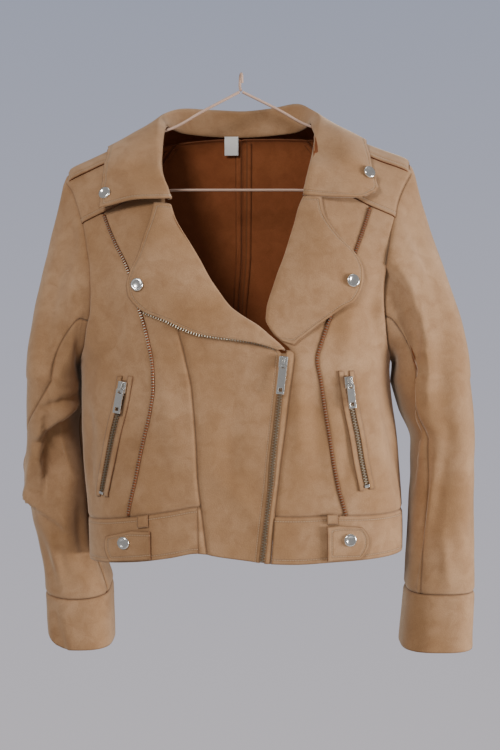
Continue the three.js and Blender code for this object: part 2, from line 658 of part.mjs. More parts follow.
function ringPoint(stations, z, a) {
  const turn = (a * Math.PI) / 180;
  const c = Math.cos(turn);
  const s = Math.sin(turn);
  const mx = (stations.outer(z) + stations.inner(z)) / 2;
  const hx = (stations.outer(z) - stations.inner(z)) / 2;
  const my = (stations.front(z) + stations.back(z)) / 2;
  const hy = (stations.back(z) - stations.front(z)) / 2;
  const square = 1 + 0.12 * Math.sin(2 * turn) ** 2;
  return vec(mx + hx * c * square, my - hy * s * square, z - stations.dip(z) * s);
}

const capRows = 6;
function sleevePoint(side, a, row, zRows) {
  const stations = side < 0 ? sleeveRight : sleeveLeft;
  const folds = side < 0 ? sleeveFoldsRight : sleeveFoldsLeft;
  let p;
  if (row < capRows) {
    const t = row / capRows;
    const start = armholePoint(side, a);
    const end = ringPoint(stations, capEnd, a);
    const turn = (a * Math.PI) / 180;
    const top = 0.5 + 0.5 * Math.cos(turn);
    const edge = Math.abs(Math.sin(turn));
    const fall = start.z - end.z;
    const out = vec(side * (10 + 16 * top + 52 * edge), 0, -fall * (0.2 + 0.75 * top * top));
    const down = vec(0, 0, -fall * (0.9 + 0.1 * top));
    const h = [
      2 * t ** 3 - 3 * t ** 2 + 1, t ** 3 - 2 * t ** 2 + t,
      -2 * t ** 3 + 3 * t ** 2, t ** 3 - t ** 2,
    ];
    p = start.clone().multiplyScalar(h[0]).addScaledVector(out, h[1]);
    p.addScaledVector(end, h[2]).addScaledVector(down, h[3]);
    p.x += side * 0.9;
  } else {
    p = ringPoint(stations, zRows[row - capRows], a);
  }
  const turn = (a * Math.PI) / 180;
  const outward = vec(side * Math.cos(turn), -Math.sin(turn), 0);
  return p.addScaledVector(outward, row === 0 ? 0 : sleeveFold(a, p.z, folds));
}

function seamAngle(side, edge, row, zRows) {
  if (side > 0) return seamTop[edge];
  if (row < capRows) return mix(seamTop[edge], seamTurnRight[edge](capEnd), row / capRows);
  return seamTurnRight[edge](zRows[row - capRows]);
}

function sleevePiece(name, side, upper, steps, zRows) {
  const grid = [];
  for (let row = capRows + zRows.length - 1; row >= 0; row -= 1) {
    const ring = [];
    const front = seamAngle(side, 'front', row, zRows);
    const back = seamAngle(side, 'back', row, zRows);
    const [from, to] = upper ? [back - 360, front] : [front, back];
    for (let k = 0; k <= steps; k += 1) {
      ring.push(sleevePoint(side, mix(from, to, k / steps), row, zRows));
    }
    grid.push(side < 0 ? ring : ring.reverse());
  }
  cloth(name, grid, 1.25);
}

function cuffPiece(name, side, z0, z1) {
  const stations = side < 0 ? sleeveRight : sleeveLeft;
  const grid = [];
  [z1, mix(z1, z0, 0.5), z0 - 0.5].forEach((z) => {
    const ring = [];
    for (let k = 0; k < ringSteps; k += 1) ring.push(ringPoint(stations, z, (360 * k) / ringSteps));
    grid.push(side < 0 ? ring : ring.reverse());
  });
  add(name, shell(grid, clothWall + 0.6, true), cuffSuede);
}

const rowsRight = [capEnd, -372, -396, -420, -444, -466, -488, -512, -538, -566, cuffSeamRight];
const rowsLeft = [capEnd, -375, -400, -430, -465, -500, -545, cuffSeamLeft];
sleevePiece('upper_sleeve_right', -1, true, 16, rowsRight);
sleevePiece('under_sleeve_right', -1, false, 8, rowsRight);
sleevePiece('upper_sleeve_left', 1, true, 16, rowsLeft);
sleevePiece('under_sleeve_left', 1, false, 6, rowsLeft);
cuffPiece('cuff_right', -1, cuffSeamRight, cuffEndRight);
cuffPiece('cuff_left', 1, cuffSeamLeft, cuffEndLeft);

// ---- neck label ------------------------------------------------------------
const labelGrid = [0, 1].map((j) => [0, 1].map((i) => vec(
  mix(-20, -3.5, 1 - i), mix(48.8, 44, j), mix(-82, -60.5, j),
)));
add('neck_label', shell(labelGrid, 0.5), white);

// ---- metal -----------------------------------------------------------------
function frameAt(point, normal, up) {
  const z = normal.clone().normalize();
  const y = up.clone().addScaledVector(z, -up.dot(z)).normalize();
  const x = y.clone().cross(z);
  return new THREE.Matrix4().makeBasis(x, y, z).setPosition(point);
}

function bodyFrame(path, v, lift) {
  const point = onBody(path(v), v, lift);
  const above = onBody(path(v + 0.01), v + 0.01, lift);
  return frameAt(point, bodyNormal(path(v), v), above.sub(point));
}

function snapAt(name, point, normal) {
  const profile = [
    [0, 0], [snapRadius * 0.96, 0], [snapRadius, 0.5], [snapRadius * 0.97, 1.6],
    [snapRadius * 0.84, snapHeight], [snapRadius * 0.55, snapHeight * 0.92], [0, snapHeight * 0.9],
  ];
  const turned = new THREE.LatheGeometry(profile.map(([r, h]) => new THREE.Vector2(r, h)), 20);
  turned.rotateX(Math.PI / 2);
  turned.applyMatrix4(frameAt(point, normal, vec(0, 0, 1)));
  add(name, turned, silver);
}

function onGrid(grid, u, w, lift) {
  const j = Math.min(Math.floor(u), grid.length - 2);
  const i = Math.min(Math.floor(w), grid[0].length - 2);
  const a = grid[j][i].clone().lerp(grid[j][i + 1], w - i);
  const b = grid[j + 1][i].clone().lerp(grid[j + 1][i + 1], w - i);
  const p = a.clone().lerp(b, u - j);
  const across = grid[j][i + 1].clone().sub(grid[j][i]);
  const up = grid[j + 1][i].clone().sub(grid[j][i]);
  const normal = across.cross(up).normalize();
  if (normal.y > 0) normal.negate();
  return { point: p.addScaledVector(normal, lift), normal };
}

function bodySnap(name, theta, v, lift) {
  snapAt(name, onBody(theta, v, lift), bodyNormal(theta, v));
}
function gridSnap(name, grid, u, w) {
  const spot = onGrid(grid, u, w, 0.5);
  snapAt(name, spot.point, spot.normal);
}
gridSnap('snap_collar_right', collarGrid, 1.9, 7.55);
gridSnap('snap_collar_left', collarGrid, 30.9, 7.35);
gridSnap('snap_lapel_right', lapelRight, 22 - 9.6, 5.05);
gridSnap('snap_lapel_left', lapelLeft, 10.7, 5.0);
bodySnap('snap_waist_right', -39.6, 0.047, lappedLift + 0.5);
bodySnap('snap_waist_left', 32.0, 0.050, lappedLift + 0.5);

function prism(outline, hole, depth) {
  const rings = hole ? [outline, hole] : [outline];
  const flat = rings.flat();
  const points = [];
  [0, depth].forEach((z) => flat.forEach((p) => points.push(vec(p.x, p.y, z))));
  const n = flat.length;
  const faces = [];
  THREE.ShapeUtils.triangulateShape(outline, hole ? [hole] : []).forEach(([a, b, c]) => {
    faces.push([a, c, b], [n + a, n + b, n + c]);
  });
  let first = 0;
  rings.forEach((ring) => {
    ring.forEach((_, k) => {
      const a = first + k;
      const b = first + ((k + 1) % ring.length);
      faces.push([a, b, n + b], [a, n + b, n + a]);
    });
    first += ring.length;
  });
  return geometryFrom(points, faces);
}

// Hangs down from its top edge; corners are cut at 45 degrees.
function plate(width, length, wall, hole) {
  const w = width / 2;
  const c = 1.1;
  const at = (x, y) => new THREE.Vector2(x, y);
  const outline = [
    at(-w, -length + c), at(-w + c, -length), at(w - c, -length), at(w, -length + c),
    at(w, -c), at(w - c, 0), at(-w + c, 0), at(-w, -c),
  ];
  if (!hole) return prism(outline, null, wall);
  const h = hole.half;
  const low = -length + hole.from;
  const cut = [at(-h, low), at(-h, low + 2 * h), at(h, low + 2 * h), at(h, low)];
  return prism(outline, cut, wall);
}

function box(x0, x1, y0, y1, z0, z1) {
  const made = new THREE.BoxGeometry(x1 - x0, y1 - y0, z1 - z0);
  made.translate((x0 + x1) / 2, (y0 + y1) / 2, (z0 + z1) / 2);
  return made;
}

// A slider is a body with a raised bridge; the pull tab hangs from the bridge.
function sliderSet(tag, frame, length) {
  const body = plate(10, 13, 2.6);
  body.translate(0, 2, 0);
  body.applyMatrix4(frame);
  add(`zip_slider_${tag}`, body, silver);
  const bridge = box(-1.7, 1.7, -6, 1, 2.9, 6.1);
  bridge.applyMatrix4(frame);
  add(`slider_bridge_${tag}`, bridge, silver);
  const pull = plate(pullWidth, length, pullWall, { half: 1.9, from: 2.6 });
  pull.translate(0, -6.6, 4.2);
  pull.applyMatrix4(frame);
  add(`pull_tab_${tag}`, pull, silver);
}

sliderSet('main', bodyFrame(zipEdge.t, 0.445, 1.6), pullLength);
sliderSet('pocket_right', bodyFrame(pocketRight.t, 0.412, 2.6), pullLength - 6);
sliderSet('pocket_left', bodyFrame(pocketLeft.t, 0.412, 2.6), pullLength - 6);

function zipStop(name, path, v, lift) {
  const made = box(-2.9, 2.9, -1.6, 1.6, 0, 1.8);
  made.applyMatrix4(bodyFrame(path, v, lift));
  add(name, made, silver);
}
zipStop('zip_stop_pocket_right', pocketRight.t, 0.1675, 0.3);
zipStop('zip_stop_pocket_left', pocketLeft.t, 0.1725, 0.3);

// ---- hanger ------------------------------------------------------------------
function tube(points, radius, segments, closed) {
  const path = new THREE.CatmullRomCurve3(points, closed, 'centripetal');
  return { path, radius, segments, closed };
}

function tubeGeometry({ path, radius, segments, closed }) {
  const frames = path.computeFrenetFrames(segments, closed);
  const sides = 8;
  const points = [];
  const faces = [];
  const rings = closed ? segments : segments + 1;
  for (let s = 0; s < rings; s += 1) {
    const centre = path.getPointAt(s / segments);
    for (let k = 0; k < sides; k += 1) {
      const a = (2 * Math.PI * k) / sides;
      points.push(centre.clone()
        .addScaledVector(frames.normals[s], Math.cos(a) * radius)
        .addScaledVector(frames.binormals[s], Math.sin(a) * radius));
    }
  }
  const at = (s, k) => (s % rings) * sides + (k % sides);
  for (let s = 0; s < segments; s += 1) {
    for (let k = 0; k < sides; k += 1) {
      faces.push([at(s, k), at(s, k + 1), at(s + 1, k + 1)]);
      faces.push([at(s, k), at(s + 1, k + 1), at(s + 1, k)]);
    }
  }
  if (!closed) {
    for (let k = 1; k < sides - 1; k += 1) {
      faces.push([at(0, 0), at(0, k + 1), at(0, k)]);
      faces.push([at(segments, 0), at(segments, k), at(segments, k + 1)]);
    }
  }
  return geometryFrom(points, faces);
}

const underStrip = (x) => vec(
  x, 0, shoulderLine.z(x) + stripRise - clothWall - wireRadius - 1.1,
);
const hidden = [105, 125, 145, 165, 182];
const armRight = [
  vec(-1.8, 0, -19), vec(-41, 0, -39.6), vec(-85, 0, -63), ...hidden.map((x) => underStrip(-x)),
];
const armLeft = [
  vec(1.8, 0, -19), vec(41, 0, -38.4), vec(83, 0, -59.5), ...hidden.map(underStrip),
];
const frameLoop = [
  ...armRight,
  vec(-armEndX, 0, -115), vec(-armEndX + 2, 0, -126), vec(-barHalf, 0, -barDrop),
  vec(-60, 0, -barDrop), vec(60, 0, -barDrop),
  vec(barHalf, 0, -barDrop), vec(armEndX - 2, 0, -124), vec(armEndX, 0, -110),
  ...armLeft.slice().reverse(),
];
add('hanger_frame', tubeGeometry(tube(frameLoop, wireRadius, 72, false)), blushWire);
const hookLoop = [
  vec(-0.4, 0.3, -17.0), vec(-1.3, 5.6, -11.2), vec(-1.2, hookReach, -6.4),
  vec(-0.8, hookReach * 0.72, -0.7), vec(0, 0, wireRadius), vec(0.8, -hookReach * 0.72, -0.7),
  vec(1.2, -hookReach, -6.4), vec(1.3, -hookReach * 0.9, -10.5),
];
add('hanger_hook', tubeGeometry(tube(hookLoop, wireRadius, 14, false)), blushWire);

export default group;
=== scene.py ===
# Tan suede biker jacket on a wire hanger, as it hangs.
# Sizes in the dictionaries are millimetres; meshes are made in metres.
import bpy
import bmesh
import math
from mathutils import Matrix, Vector, noise


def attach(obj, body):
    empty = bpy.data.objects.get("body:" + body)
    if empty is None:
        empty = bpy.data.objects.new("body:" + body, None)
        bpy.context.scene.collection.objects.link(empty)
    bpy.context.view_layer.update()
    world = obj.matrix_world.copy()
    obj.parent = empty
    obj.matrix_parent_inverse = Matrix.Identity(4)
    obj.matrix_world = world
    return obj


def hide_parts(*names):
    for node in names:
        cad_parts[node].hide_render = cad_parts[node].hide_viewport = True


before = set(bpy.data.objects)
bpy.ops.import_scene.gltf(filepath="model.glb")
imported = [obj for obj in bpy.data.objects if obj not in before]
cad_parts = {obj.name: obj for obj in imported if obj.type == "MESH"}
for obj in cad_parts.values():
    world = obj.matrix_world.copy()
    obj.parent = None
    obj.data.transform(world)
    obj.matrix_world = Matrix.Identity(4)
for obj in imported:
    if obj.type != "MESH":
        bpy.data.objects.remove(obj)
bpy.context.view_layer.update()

# camera first: level, facing the front
view = {"place": (0.0104, -1.2, -0.345), "lens": 50.0}
cameraData = bpy.data.cameras.new("frontCamera")
cameraData.lens = view["lens"]
cameraData.sensor_width = 36.0
cameraData.clip_start = 0.01
camera = bpy.data.objects.new("frontCamera", cameraData)
camera.location = view["place"]
camera.rotation_euler = (math.radians(90), 0, 0)
bpy.context.scene.collection.objects.link(camera)
bpy.context.scene.camera = camera
print("camera ready")


# a smooth curve through rows of values
def curveOf(xs, ys):
    n = len(xs)
    steps = [(ys[k + 1] - ys[k]) / (xs[k + 1] - xs[k]) for k in range(n - 1)]
    slopes = [steps[0]]
    for k in range(1, n - 1):
        a, b = steps[k - 1], steps[k]
        slopes.append(0.0 if a * b <= 0 else 2 * a * b / (a + b))
    slopes.append(steps[-1])

    def value(x):
        k = 0
        while k < n - 2 and x > xs[k + 1]:
            k += 1
        h = xs[k + 1] - xs[k]
        s = min(max((x - xs[k]) / h, 0.0), 1.0)
        r = 1 - s
        return ((1 + 2 * s) * r * r * ys[k] + s * r * r * h * slopes[k]
                + s * s * (3 - 2 * s) * ys[k + 1] + s * s * (s - 1) * h * slopes[k + 1])
    return value


class Table:
    def __init__(self, names, rows):
        rows = sorted(rows)
        xs = [row[0] for row in rows]
        for i, name in enumerate(names.split()):
            setattr(self, name, curveOf(xs, [row[i] for row in rows]))


def mix(a, b, t):
    return a + (b - a) * t


def clamp(x, a=0.0, b=1.0):
    return min(max(x, a), b)


# a panel's side is a number or a function of where it is
def pickSide(side, at):
    return side(at) if callable(side) else side


# the hanging body: v is the height from hem to shoulder, theta the angle round it
bodyShape = Table("v centreX halfWidth front back square", [
    (0.00, 6, 179, 84, 68, 0.25), (0.10, 5, 179, 87, 70, 0.25), (0.25, 0, 180, 93, 68, 0.22),
    (0.45, -6, 176, 97, 68, 0.20), (0.52, -5, 180, 96, 70, 0.20), (0.60, -3, 192, 92, 72, 0.20),
    (0.70, 0, 207, 82, 72, 0.20), (0.80, 0, 217, 65, 68, 0.20), (0.90, 0, 222, 43, 58, 0.20),
    (0.95, 0, 224, 29, 54, 0.20), (0.98, 0, 225, 17, 44, 0.20), (1.00, 0, 226, 0.4, 0.4, 0.20)])
shoulderLine = Table("x z", [
    (-226, -124), (-200, -112), (-151, -90), (-80, -57), (0, -49),
    (80, -52), (143, -82), (202, -104), (226, -114)])
hemLine = Table("x z", [
    (-190, -552), (-150, -550), (-110, -547), (-75, -542), (-47, -537), (-20, -541),
    (10, -545), (30, -548), (60, -549), (100, -547), (140, -545), (190, -541)])

# creases of the body: start and end (theta, v), half width, depth
bodyFolds = [
    (-44, 0.70, -40, 0.48, 14, -4.0), (42, 0.72, 47, 0.50, 14, -5.0),
    (-60, 0.47, -62, 0.16, 16, -4.0), (62, 0.46, 66, 0.16, 16, -4.0),
    (150, 0.80, 158, 0.30, 22, -5.0), (-148, 0.78, -160, 0.28, 22, -5.0),
    (118, 0.50, 130, 0.14, 18, -4.0), (-118, 0.50, -128, 0.14, 18, -4.0)]
# smaller soft creases of the fronts and back
bodyCreases = [
    (20, 0.45, 16, 0.20, 5, 2.2), (25, 0.44, 22, 0.14, 7, -2.4), (33, 0.60, 41, 0.40, 7, 2.6),
    (-36, 0.58, -50, 0.38, 8, -3.0), (-24, 0.44, -17, 0.18, 9, 2.0), (-30, 0.30, -46, 0.14, 8, -2.2),
    (50, 0.42, 54, 0.18, 8, 2.2), (0, 0.36, -5, 0.14, 8, -1.8), (-58, 0.76, -52, 0.54, 7, -2.8),
    (57, 0.80, 54, 0.58, 7, -3.2), (-10, 0.20, 7, 0.07, 8, 1.6), (-66, 0.44, -48, 0.30, 7, 2.4),
    (36, 0.32, 30, 0.14, 7, -2.0), (-70, 0.30, -58, 0.13, 7, -2.4), (66, 0.32, 78, 0.13, 8, -2.6),
    (44, 0.60, 60, 0.47, 6, -2.4), (-44, 0.50, -64, 0.46, 6, -2.2),
    (172, 0.86, 166, 0.60, 9, 2.2), (-170, 0.70, -176, 0.40, 10, -2.4), (140, 0.62, 122, 0.44, 8, -2.6),
    (-140, 0.60, -124, 0.42, 8, -2.6), (176, 0.34, 170, 0.13, 9, 2.0)]


# millimetres to a degree round the body, and up its whole height
bodyScale = {"round": 2.6, "up": 440}


def foldDepth(theta, v, folds):
    total = 0.0
    for t0, v0, t1, v1, half, depth in folds:
        px = ((theta - t0 + 540) % 360 - 180) * bodyScale["round"]
        py = (v - v0) * bodyScale["up"]
        ax, ay = (t1 - t0) * bodyScale["round"], (v1 - v0) * bodyScale["up"]
        along = clamp((px * ax + py * ay) / (ax * ax + ay * ay))
        d = math.hypot(px - along * ax, py - along * ay) / half
        if d < 3:
            total += depth * math.sin(math.pi * clamp(along, 0.08, 0.92)) * math.exp(-d * d)
    return total


backHem = {"low": -546.4, "tilt": 0.027, "sag": 1.5, "half": 180}


def hemHeight(x, front):
    if front:
        return hemLine.z(x)
    return backHem["low"] + backHem["tilt"] * x - backHem["sag"] * (1 - (x / backHem["half"]) ** 2)


# a point of the bare body form, and the way out of it
def bodyPoint(theta, v):
    a = math.radians(theta)
    s, c = math.sin(a), math.cos(a)
    k = bodyShape.square(v)
    x = bodyShape.centreX(v) + bodyShape.halfWidth(v) * s * (1 + k * c * c)
    depth = bodyShape.front(v) if c > 0 else bodyShape.back(v)
    y = -depth * c * (1 + k * s * s)
    low = hemHeight(x, c > 0)
    return Vector((x, y, low + (shoulderLine.z(x) - low) * v))


def bodyNormal(theta, v):
    across = bodyPoint(theta + 0.5, v) - bodyPoint(theta - 0.5, v)
    low = clamp(v - 0.004, 0, 0.985)
    up = bodyPoint(theta, low + 0.008) - bodyPoint(theta, low)
    return across.cross(up).normalized()


# a point on the creased body, lifted off it in mm
def onBody(theta, v, lift=0.0):
    move = lift + foldDepth(theta, v, bodyFolds) + foldDepth(theta, v, bodyCreases)
    return bodyPoint(theta, v) + bodyNormal(theta, v) * move


# seams on the body, theta by v
trimRight = Table("v t", [
    (0.00, -39.5), (0.109, -37.5), (0.186, -33.6), (0.271, -29.6), (0.334, -26.6), (0.387, -25.2),
    (0.426, -25.3), (0.488, -26.8), (0.559, -28.8), (0.665, -31.3), (0.746, -34.5), (0.86, -39.0)])
trimLeft = Table("v t", [
    (0.00, 32.0), (0.10, 30.8), (0.16, 28.8), (0.225, 27.7), (0.31, 26.9), (0.395, 26.4),
    (0.444, 25.4), (0.47, 26.3), (0.537, 28.6), (0.598, 29.9), (0.681, 31.0), (0.758, 32.9),
    (0.86, 36.0)])
overlapSeam = Table("v t", [
    (0.00, -10.8), (0.087, -12.0), (0.163, -12.7), (0.251, -12.5), (0.36, -12.8), (0.438, -14.6),
    (0.506, -16.7), (0.607, -17.6), (0.697, -18.1), (0.794, -18.8), (0.86, -19.2)])
zipEdge = Table("v t", [
    (0.00, 4.4), (0.106, 6.1), (0.181, 7.9), (0.267, 9.9), (0.351, 12.2), (0.415, 13.8), (0.457, 14.5)])
stripEdge = Table("v t", [
    (0.00, 6.9), (0.107, 8.3), (0.182, 10.1), (0.267, 12.5), (0.352, 15.2), (0.416, 17.2), (0.464, 18.3)])
rollRight = Table("v t", [
    (0.457, 14.2), (0.506, 5.6), (0.555, -3.1), (0.62, -8.7), (0.703, -14.0), (0.80, -17.6)])
rollLeft = Table("v t", [
    (0.448, 17.9), (0.472, 15.0), (0.486, 12.0), (0.505, 9.6), (0.53, 8.4), (0.605, 10.2),
    (0.704, 12.7), (0.80, 15.6), (0.86, 16.2)])
armRight = Table("v t", [
    (0.487, -90), (0.50, -77), (0.52, -67), (0.547, -61), (0.585, -55), (0.628, -50.4),
    (0.689, -47.8), (0.738, -46.7), (0.776, -46.7), (0.826, -47.4), (0.861, -48.7),
    (0.901, -50.7), (0.933, -52.8), (0.964, -56.5), (1, -58.5)])
armLeft = Table("v t", [
    (0.475, 90), (0.499, 70), (0.53, 62), (0.564, 56), (0.613, 50), (0.674, 45.8), (0.722, 44.7),
    (0.772, 44.6), (0.828, 45.6), (0.859, 46.2), (0.894, 47.8), (0.938, 51.1), (0.962, 53.4), (1, 57)])
armBackRight = Table("v t", [
    (0.487, -90), (0.50, -103), (0.53, -114), (0.60, -125), (0.70, -132), (0.80, -133),
    (0.90, -128), (0.964, -122), (1, -121.5)])
armBackLeft = Table("v t", [
    (0.475, 90), (0.50, 104), (0.53, 115), (0.60, 126), (0.70, 132.5), (0.80, 134),
    (0.90, 129), (0.964, 124), (1, 123)])
backSeam = Table("v t", [
    (0.00, 148), (0.10, 149), (0.30, 147), (0.50, 144), (0.70, 144), (0.82, 149), (0.90, 155), (0.98, 163)])
pocketRight = Table("v t", [(0.168, -51.6), (0.241, -46.2), (0.308, -42.1), (0.372, -38.2), (0.424, -36.2)])
pocketLeft = Table("v t", [(0.173, 40.6), (0.23, 39.3), (0.296, 38.4), (0.361, 37.4), (0.424, 36.8)])

bandTop = 0.104
yokeSeam = 0.835
lapped = 2.2


# an input of a node is a value, or the socket to link to it
def addNode(tree, kind, place, inputs=None, **settings):
    node = tree.nodes.new(kind if kind.startswith("NodeGroup") else "ShaderNode" + kind)
    node.location = place
    for key, value in settings.items():
        setattr(node, key, value)
    for key, value in (inputs or {}).items():
        if isinstance(value, bpy.types.NodeSocket):
            tree.links.new(value, node.inputs[key])
        else:
            node.inputs[key].default_value = value
    return node


def mathOf(tree, place, operation, *values):
    return addNode(tree, "Math", place, dict(enumerate(values)), operation=operation).outputs["Value"]


def rangeOf(tree, place, value, span, to=(0, 1), smooth=False):
    inputs = {"Value": value, "From Min": span[0], "From Max": span[1], "To Min": to[0], "To Max": to[1]}
    kind = "SMOOTHSTEP" if smooth else "LINEAR"
    return addNode(tree, "MapRange", place, inputs, interpolation_type=kind).outputs["Result"]


def mixOf(tree, place, factor, a, b):
    inputs = {"Factor": factor, "A": a, "B": b}
    return addNode(tree, "Mix", place, inputs, data_type="RGBA").outputs["Result"]


def noiseOf(tree, place, where, scale, detail, distortion=0.0):
    inputs = {"Vector": where, "Scale": scale, "Detail": detail, "Distortion": distortion}
    return addNode(tree, "TexNoise", place, inputs).outputs["Fac"]


def newGroup(name, inputs, outputs):
    group = bpy.data.node_groups.new(name, "ShaderNodeTree")
    for label, kind, start in inputs:
        socket = group.interface.new_socket(label, in_out="INPUT", socket_type="NodeSocket" + kind)
        socket.default_value = start
    for label, kind in outputs:
        group.interface.new_socket(label, in_out="OUTPUT", socket_type="NodeSocket" + kind)
    return group, addNode(group, "NodeGroupInput", (-900, 0)).outputs


# broad brushed patches, hand marks and the fine nap itself
def napGroup():
    group, given = newGroup(
        "suedeNap",
        [("Base", "Color", (0.3, 0.2, 0.1, 1)), ("Brushed", "Color", (0.4, 0.3, 0.2, 1)),
         ("Worn", "Color", (0.2, 0.1, 0.05, 1)), ("Nap", "Float", 1.0)],
        [("Color", "Color"), ("Height", "Float"), ("Roughness", "Float")])
    where = addNode(group, "TexCoord", (-900, -300)).outputs["Object"]
    broad = noiseOf(group, (-600, 200), where, 14, 3)
    patch = noiseOf(group, (-600, -50), where, 75, 4, 0.6)
    fine = noiseOf(group, (-600, -300), where, 900, 3)
    brushed = mixOf(group, (-100, 150), rangeOf(group, (-350, 200), broad, (0.35, 0.68)),
                    given["Base"], given["Brushed"])
    worn = mixOf(group, (120, 100), rangeOf(group, (-350, -50), patch, (0.4, 0.75), (0, 0.5)),
                 brushed, given["Worn"])
    grain = rangeOf(group, (-100, -300), fine, (0.3, 0.7), (0.9, 1.08))
    tint = addNode(group, "VectorMath", (350, 100), {"Scale": grain, 0: worn}, operation="SCALE")
    lifted = mathOf(group, (120, -300), "MULTIPLY_ADD", patch, 0.35, fine)
    addNode(group, "NodeGroupOutput", (700, 0), {
        "Color": tint.outputs["Vector"],
        "Height": mathOf(group, (350, -300), "MULTIPLY", lifted, given["Nap"]),
        "Roughness": rangeOf(group, (350, -500), patch, (0, 1), (0.82, 0.98))})
    return group


# edge distances and length along the edge come from the piece's own attributes; Edge and Groove are the masks
# for painted shade along the panel edges and in the stitch groove, and Groove also presses the bump
def stitchGroup():
    group, given = newGroup("topstitch", [("Inset", "Float", 5), ("Pitch", "Float", 2.6)],
                            [("Thread", "Float"), ("Groove", "Float"), ("Edge", "Float")])

    def attribute(name, low):
        return addNode(group, "Attribute", (-900, low), attribute_name=name).outputs["Fac"]

    away = mathOf(group, (-600, -200), "SUBTRACT", attribute("sewnNear", -420), given["Inset"])
    size = mathOf(group, (-400, -200), "ABSOLUTE", away)
    line = rangeOf(group, (-200, -200), size, (0.3, 0.75), (1, 0), smooth=True)
    turn = mathOf(group, (-600, -600), "DIVIDE", attribute("sewnRun", -640), given["Pitch"])
    dash = mathOf(group, (-200, -600), "LESS_THAN", mathOf(group, (-400, -600), "FRACT", turn), 0.78)
    addNode(group, "NodeGroupOutput", (900, 0), {
        "Thread": mathOf(group, (100, -300), "MULTIPLY", line, dash),
        "Groove": rangeOf(group, (-200, 100), size, (0.2, 1.9), (1, 0), smooth=True),
        "Edge": rangeOf(group, (100, 300), attribute("edgeNear", -200), (0, 2.2), (1, 0), smooth=True)})
    return group


nap = napGroup()
stitch = stitchGroup()


def newMaterial(name):
    material = bpy.data.materials.new(name)
    material.use_nodes = True
    return material, material.node_tree, material.node_tree.nodes["Principled BSDF"]


def bumpOn(tree, shader, place, height, strength, distance):
    bump = addNode(tree, "Bump", place, {"Height": height, "Strength": strength, "Distance": distance})
    tree.links.new(bump.outputs["Normal"], shader.inputs["Normal"])


def clothMaterial(name, look):
    material, tree, shader = newMaterial(name)
    shader.location = (700, 0)
    shader.inputs["Specular IOR Level"].default_value = 0.18
    shader.inputs["Sheen Weight"].default_value = look["sheen"]
    shader.inputs["Sheen Roughness"].default_value = 0.55
    shader.inputs["Sheen Tint"].default_value = look["sheenTint"]
    napped = addNode(tree, "Group", (-500, 100), {
        "Base": look["base"], "Brushed": look["brushed"], "Worn": look["worn"], "Nap": look["nap"]},
        node_tree=nap).outputs
    sewn = addNode(tree, "Group", (-500, -250), {"Inset": look["inset"], "Pitch": look["pitch"]},
                   node_tree=stitch).outputs
    # painted shade: the colour is darkened towards the edge colour along the panel edges and in the stitch
    # groove, where the seams dip
    edgeShaded = mixOf(tree, (-200, 150), mathOf(tree, (-350, 300), "MULTIPLY", sewn["Edge"], look["edgeShadeMix"]),
                  napped["Color"], look["edge"])
    grooveShaded = mixOf(tree, (30, 150), mathOf(tree, (-150, 320), "MULTIPLY", sewn["Groove"], 0.32),
                    edgeShaded, look["edge"])
    threaded = mixOf(tree, (260, 150), sewn["Thread"], grooveShaded, look["thread"])
    tree.links.new(threaded, shader.inputs["Base Color"])
    tree.links.new(napped["Roughness"], shader.inputs["Roughness"])
    pressed = mathOf(tree, (-50, -250), "MULTIPLY_ADD", sewn["Groove"], -2.4, napped["Height"])
    raised = mathOf(tree, (150, -250), "MULTIPLY_ADD", sewn["Thread"], 1.6, pressed)
    bumpOn(tree, shader, (400, -250), raised, look["bump"], 0.0004)
    return material


# metal, wire, label and floor: two shades, roughness and bump from one noise
def plainMaterial(name, look):
    material, tree, shader = newMaterial(name)
    shader.inputs["Metallic"].default_value = look["metallic"]
    where = addNode(tree, "TexCoord", (-900, 0)).outputs["Object"]
    marks = noiseOf(tree, (-700, 0), where, look["scale"], 4)
    shade = mixOf(tree, (-350, 100), marks, look["colour"], look["second"])
    rough = rangeOf(tree, (-350, -150), marks, (0, 1), (look["smooth"], look["rough"]))
    tree.links.new(shade, shader.inputs["Base Color"])
    tree.links.new(rough, shader.inputs["Roughness"])
    bumpOn(tree, shader, (-100, -300), marks, look["bump"], 0.0001)
    return material


# the edge colour is the painted shade along the panel edges and in the stitch grooves, and its mix how
# strongly it is painted
suedeLook = {
    "base": (0.330, 0.178, 0.083, 1), "brushed": (0.430, 0.255, 0.140, 1), "worn": (0.245, 0.120, 0.052, 1),
    "edge": (0.120, 0.055, 0.022, 1), "thread": (0.380, 0.240, 0.140, 1), "edgeShadeMix": 0.6,
    "sheen": 0.45, "sheenTint": (1.0, 0.84, 0.68, 1), "nap": 1.0, "bump": 0.55, "inset": 5.0, "pitch": 2.8}
# the wrong side's edge colour is painted shade along its edges and stitch grooves
wrongLook = {
    "base": (0.215, 0.062, 0.020, 1), "brushed": (0.260, 0.082, 0.029, 1), "worn": (0.170, 0.047, 0.015, 1),
    "edge": (0.045, 0.013, 0.006, 1), "thread": (0.150, 0.060, 0.025, 1), "edgeShadeMix": 0.4,
    "sheen": 0.12, "sheenTint": (1.0, 0.72, 0.55, 1), "nap": 0.4, "bump": 0.3, "inset": 6.0, "pitch": 2.8}
suede = clothMaterial("suede", suedeLook)
wrongSide = clothMaterial("wrongSide", wrongLook)
# the tape's edge colour is painted shade along its edges and stitch grooves
tapeLook = {
    "base": (0.220, 0.125, 0.064, 1), "brushed": (0.255, 0.150, 0.080, 1), "worn": (0.170, 0.092, 0.045, 1),
    "edge": (0.080, 0.038, 0.016, 1), "thread": (0.200, 0.110, 0.060, 1), "edgeShadeMix": 0.4,
    "sheen": 0.1, "sheenTint": (1.0, 0.8, 0.6, 1), "nap": 0.4, "bump": 0.4, "inset": 6.0, "pitch": 2.8}
tapeCloth = clothMaterial("tapeCloth", tapeLook)

